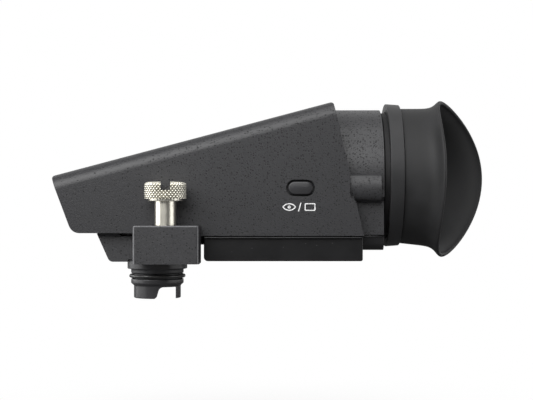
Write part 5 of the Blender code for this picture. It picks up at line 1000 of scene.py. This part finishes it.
# Pictogram under the key, printed in white: an eye, a stroke and a screen.
STROKE = 0.34 * MM
EYE_SPOT = mm(45.9, 19.0)
EYE_HALF_LENGTH, EYE_HALF_HEIGHT = mm(2.3, 1.3)
PUPIL_RADIUS = 0.55 * MM
ink_y = (-CASE_HALF - 0.015 * MM, -CASE_HALF + 0.01 * MM)


def printed_ring(line):
    """A printed outline: a closed line and the same line moved in, carried a hair off the wall."""
    inner = offset_line(line, STROKE)
    levels = (*ink_y, *ink_y[::-1])
    rows = [at_level(edge, y) for edge, y in zip((line, line, inner, inner), levels)]
    return add_shape("stroke", np.concatenate(rows), grid_faces(4, len(line), True, True))


screen_line = rounded_line(rectangle(mm(51.2, 17.7), mm(54.9, 20.3)), mm(0.4, 0.4, 0.4, 0.4))
lid_turn = np.linspace(0, math.pi, 20)
lid = np.stack([-EYE_HALF_LENGTH * np.cos(lid_turn), EYE_HALF_HEIGHT * np.sin(lid_turn) ** 1.5], axis=1)
eye_line = EYE_SPOT + np.concatenate([lid, (lid * (1, -1))[-2:0:-1]])
pupil_turn = full_turn(24)
pupil = EYE_SPOT + PUPIL_RADIUS * np.stack([np.cos(pupil_turn), np.sin(pupil_turn)], axis=1)
slash = mm((48.9, 17.5), (49.25, 17.5), (50.1, 20.5), (49.75, 20.5))
strokes = [printed_ring(screen_line), printed_ring(eye_line)]
strokes += [carried("stroke", line, *ink_y) for line in (pupil, slash)]
complete(joined("pictogram", strokes), ink, "head")


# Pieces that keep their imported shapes: hinge, screws, boards, cables, switch and frame, each
# in its own metal, moulding, laminate or film.
def dress(material, *words):
    """Puts a material on the CAD nodes that have one of the words in their names."""
    for name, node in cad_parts.items():
        if any(word in name for word in words):
            for slot in node.material_slots:
                slot.material = material


steel = worn_metal("screw_steel", (0.56, 0.56, 0.57), 0.30)
brass = worn_metal("brass", (0.72, 0.53, 0.22), 0.30)
brushed = worn_metal("brushed_aluminium", (0.66, 0.67, 0.69), 0.36, (0.05, 1, 1))
dress(steel, "hinge_arm", "hinge_pin", "_screw_", "screw_clip", "dial_crank")
dress(brass, "hinge_washer", "guide_bush", "switch_plunger")
dress(brushed, "floor_plate", "tube_nut", "tube_saddle", "heat_spreader", "lens_keeper")
dress(inner_black_painted_shade, "foot_lid", "panel_frame", "button_guide", "button_switch", "lens_carrier")


def bricks(place, scale, joint, offset):
    """One in the joints between bricks, nought in the bricks."""
    inputs = {"Vector": place, "Scale": scale, "Mortar Size": joint}
    return place.node("ShaderNodeTexBrick", {"offset": offset}, inputs, 1)


def laminate(name, top):
    """Circuit board: green resist over a weave, copper lines under it, and black chips above a
    height."""
    material, shader, place = new_finish(name)
    weave = place.node("ShaderNodeTexWave", {}, {"Vector": place, "Scale": 900})
    lines = bricks(place, 420, 0.09, 0.35)
    resist = (lines * 0.8 + 0.1 * weave).tint((0.008, 0.10, 0.045), (0.03, 0.20, 0.08))
    chip = axes(place)[2].band(top, top + 0.1 * MM)
    feed_all(shader, base_color=chip.tint(resist, (0.014, 0.014, 0.015)),
             roughness=0.35 + 0.2 * chip + 0.06 * weave, normal=(lines * (1 - chip)).bump(0.2, 0.03 * MM))
    return material


dress(laminate("board_laminate", 16.3 * MM), "main_board")
dress(laminate("switch_laminate", 60 * MM), "switch_board")

# Flexible circuits: amber film over straight copper tracks.
amber_film, shader, place = new_finish("amber_film")
tracks = (axes(place)[1] * (2 * math.pi / (0.6 * MM))).maths("SINE").band(-0.2, 0.2)
feed_all(shader, base_color=tracks.tint((0.42, 0.17, 0.03), (0.62, 0.31, 0.08)),
         roughness=0.24 + 0.12 * place.noise(300), normal=tracks.bump(0.15, 0.02 * MM))
dress(amber_film, "_flex")

# Small display: black glass with a faint pixel grid and smears.
panel_glass, shader, place = new_finish("panel_glass")
grid = bricks(place, 2600, 0.12, 0)
feed_all(shader, base_color=grid.tint((0.016, 0.016, 0.024), (0.006, 0.006, 0.008)),
         roughness=0.08 + 0.12 * place.noise(240))
dress(panel_glass, "display_panel")
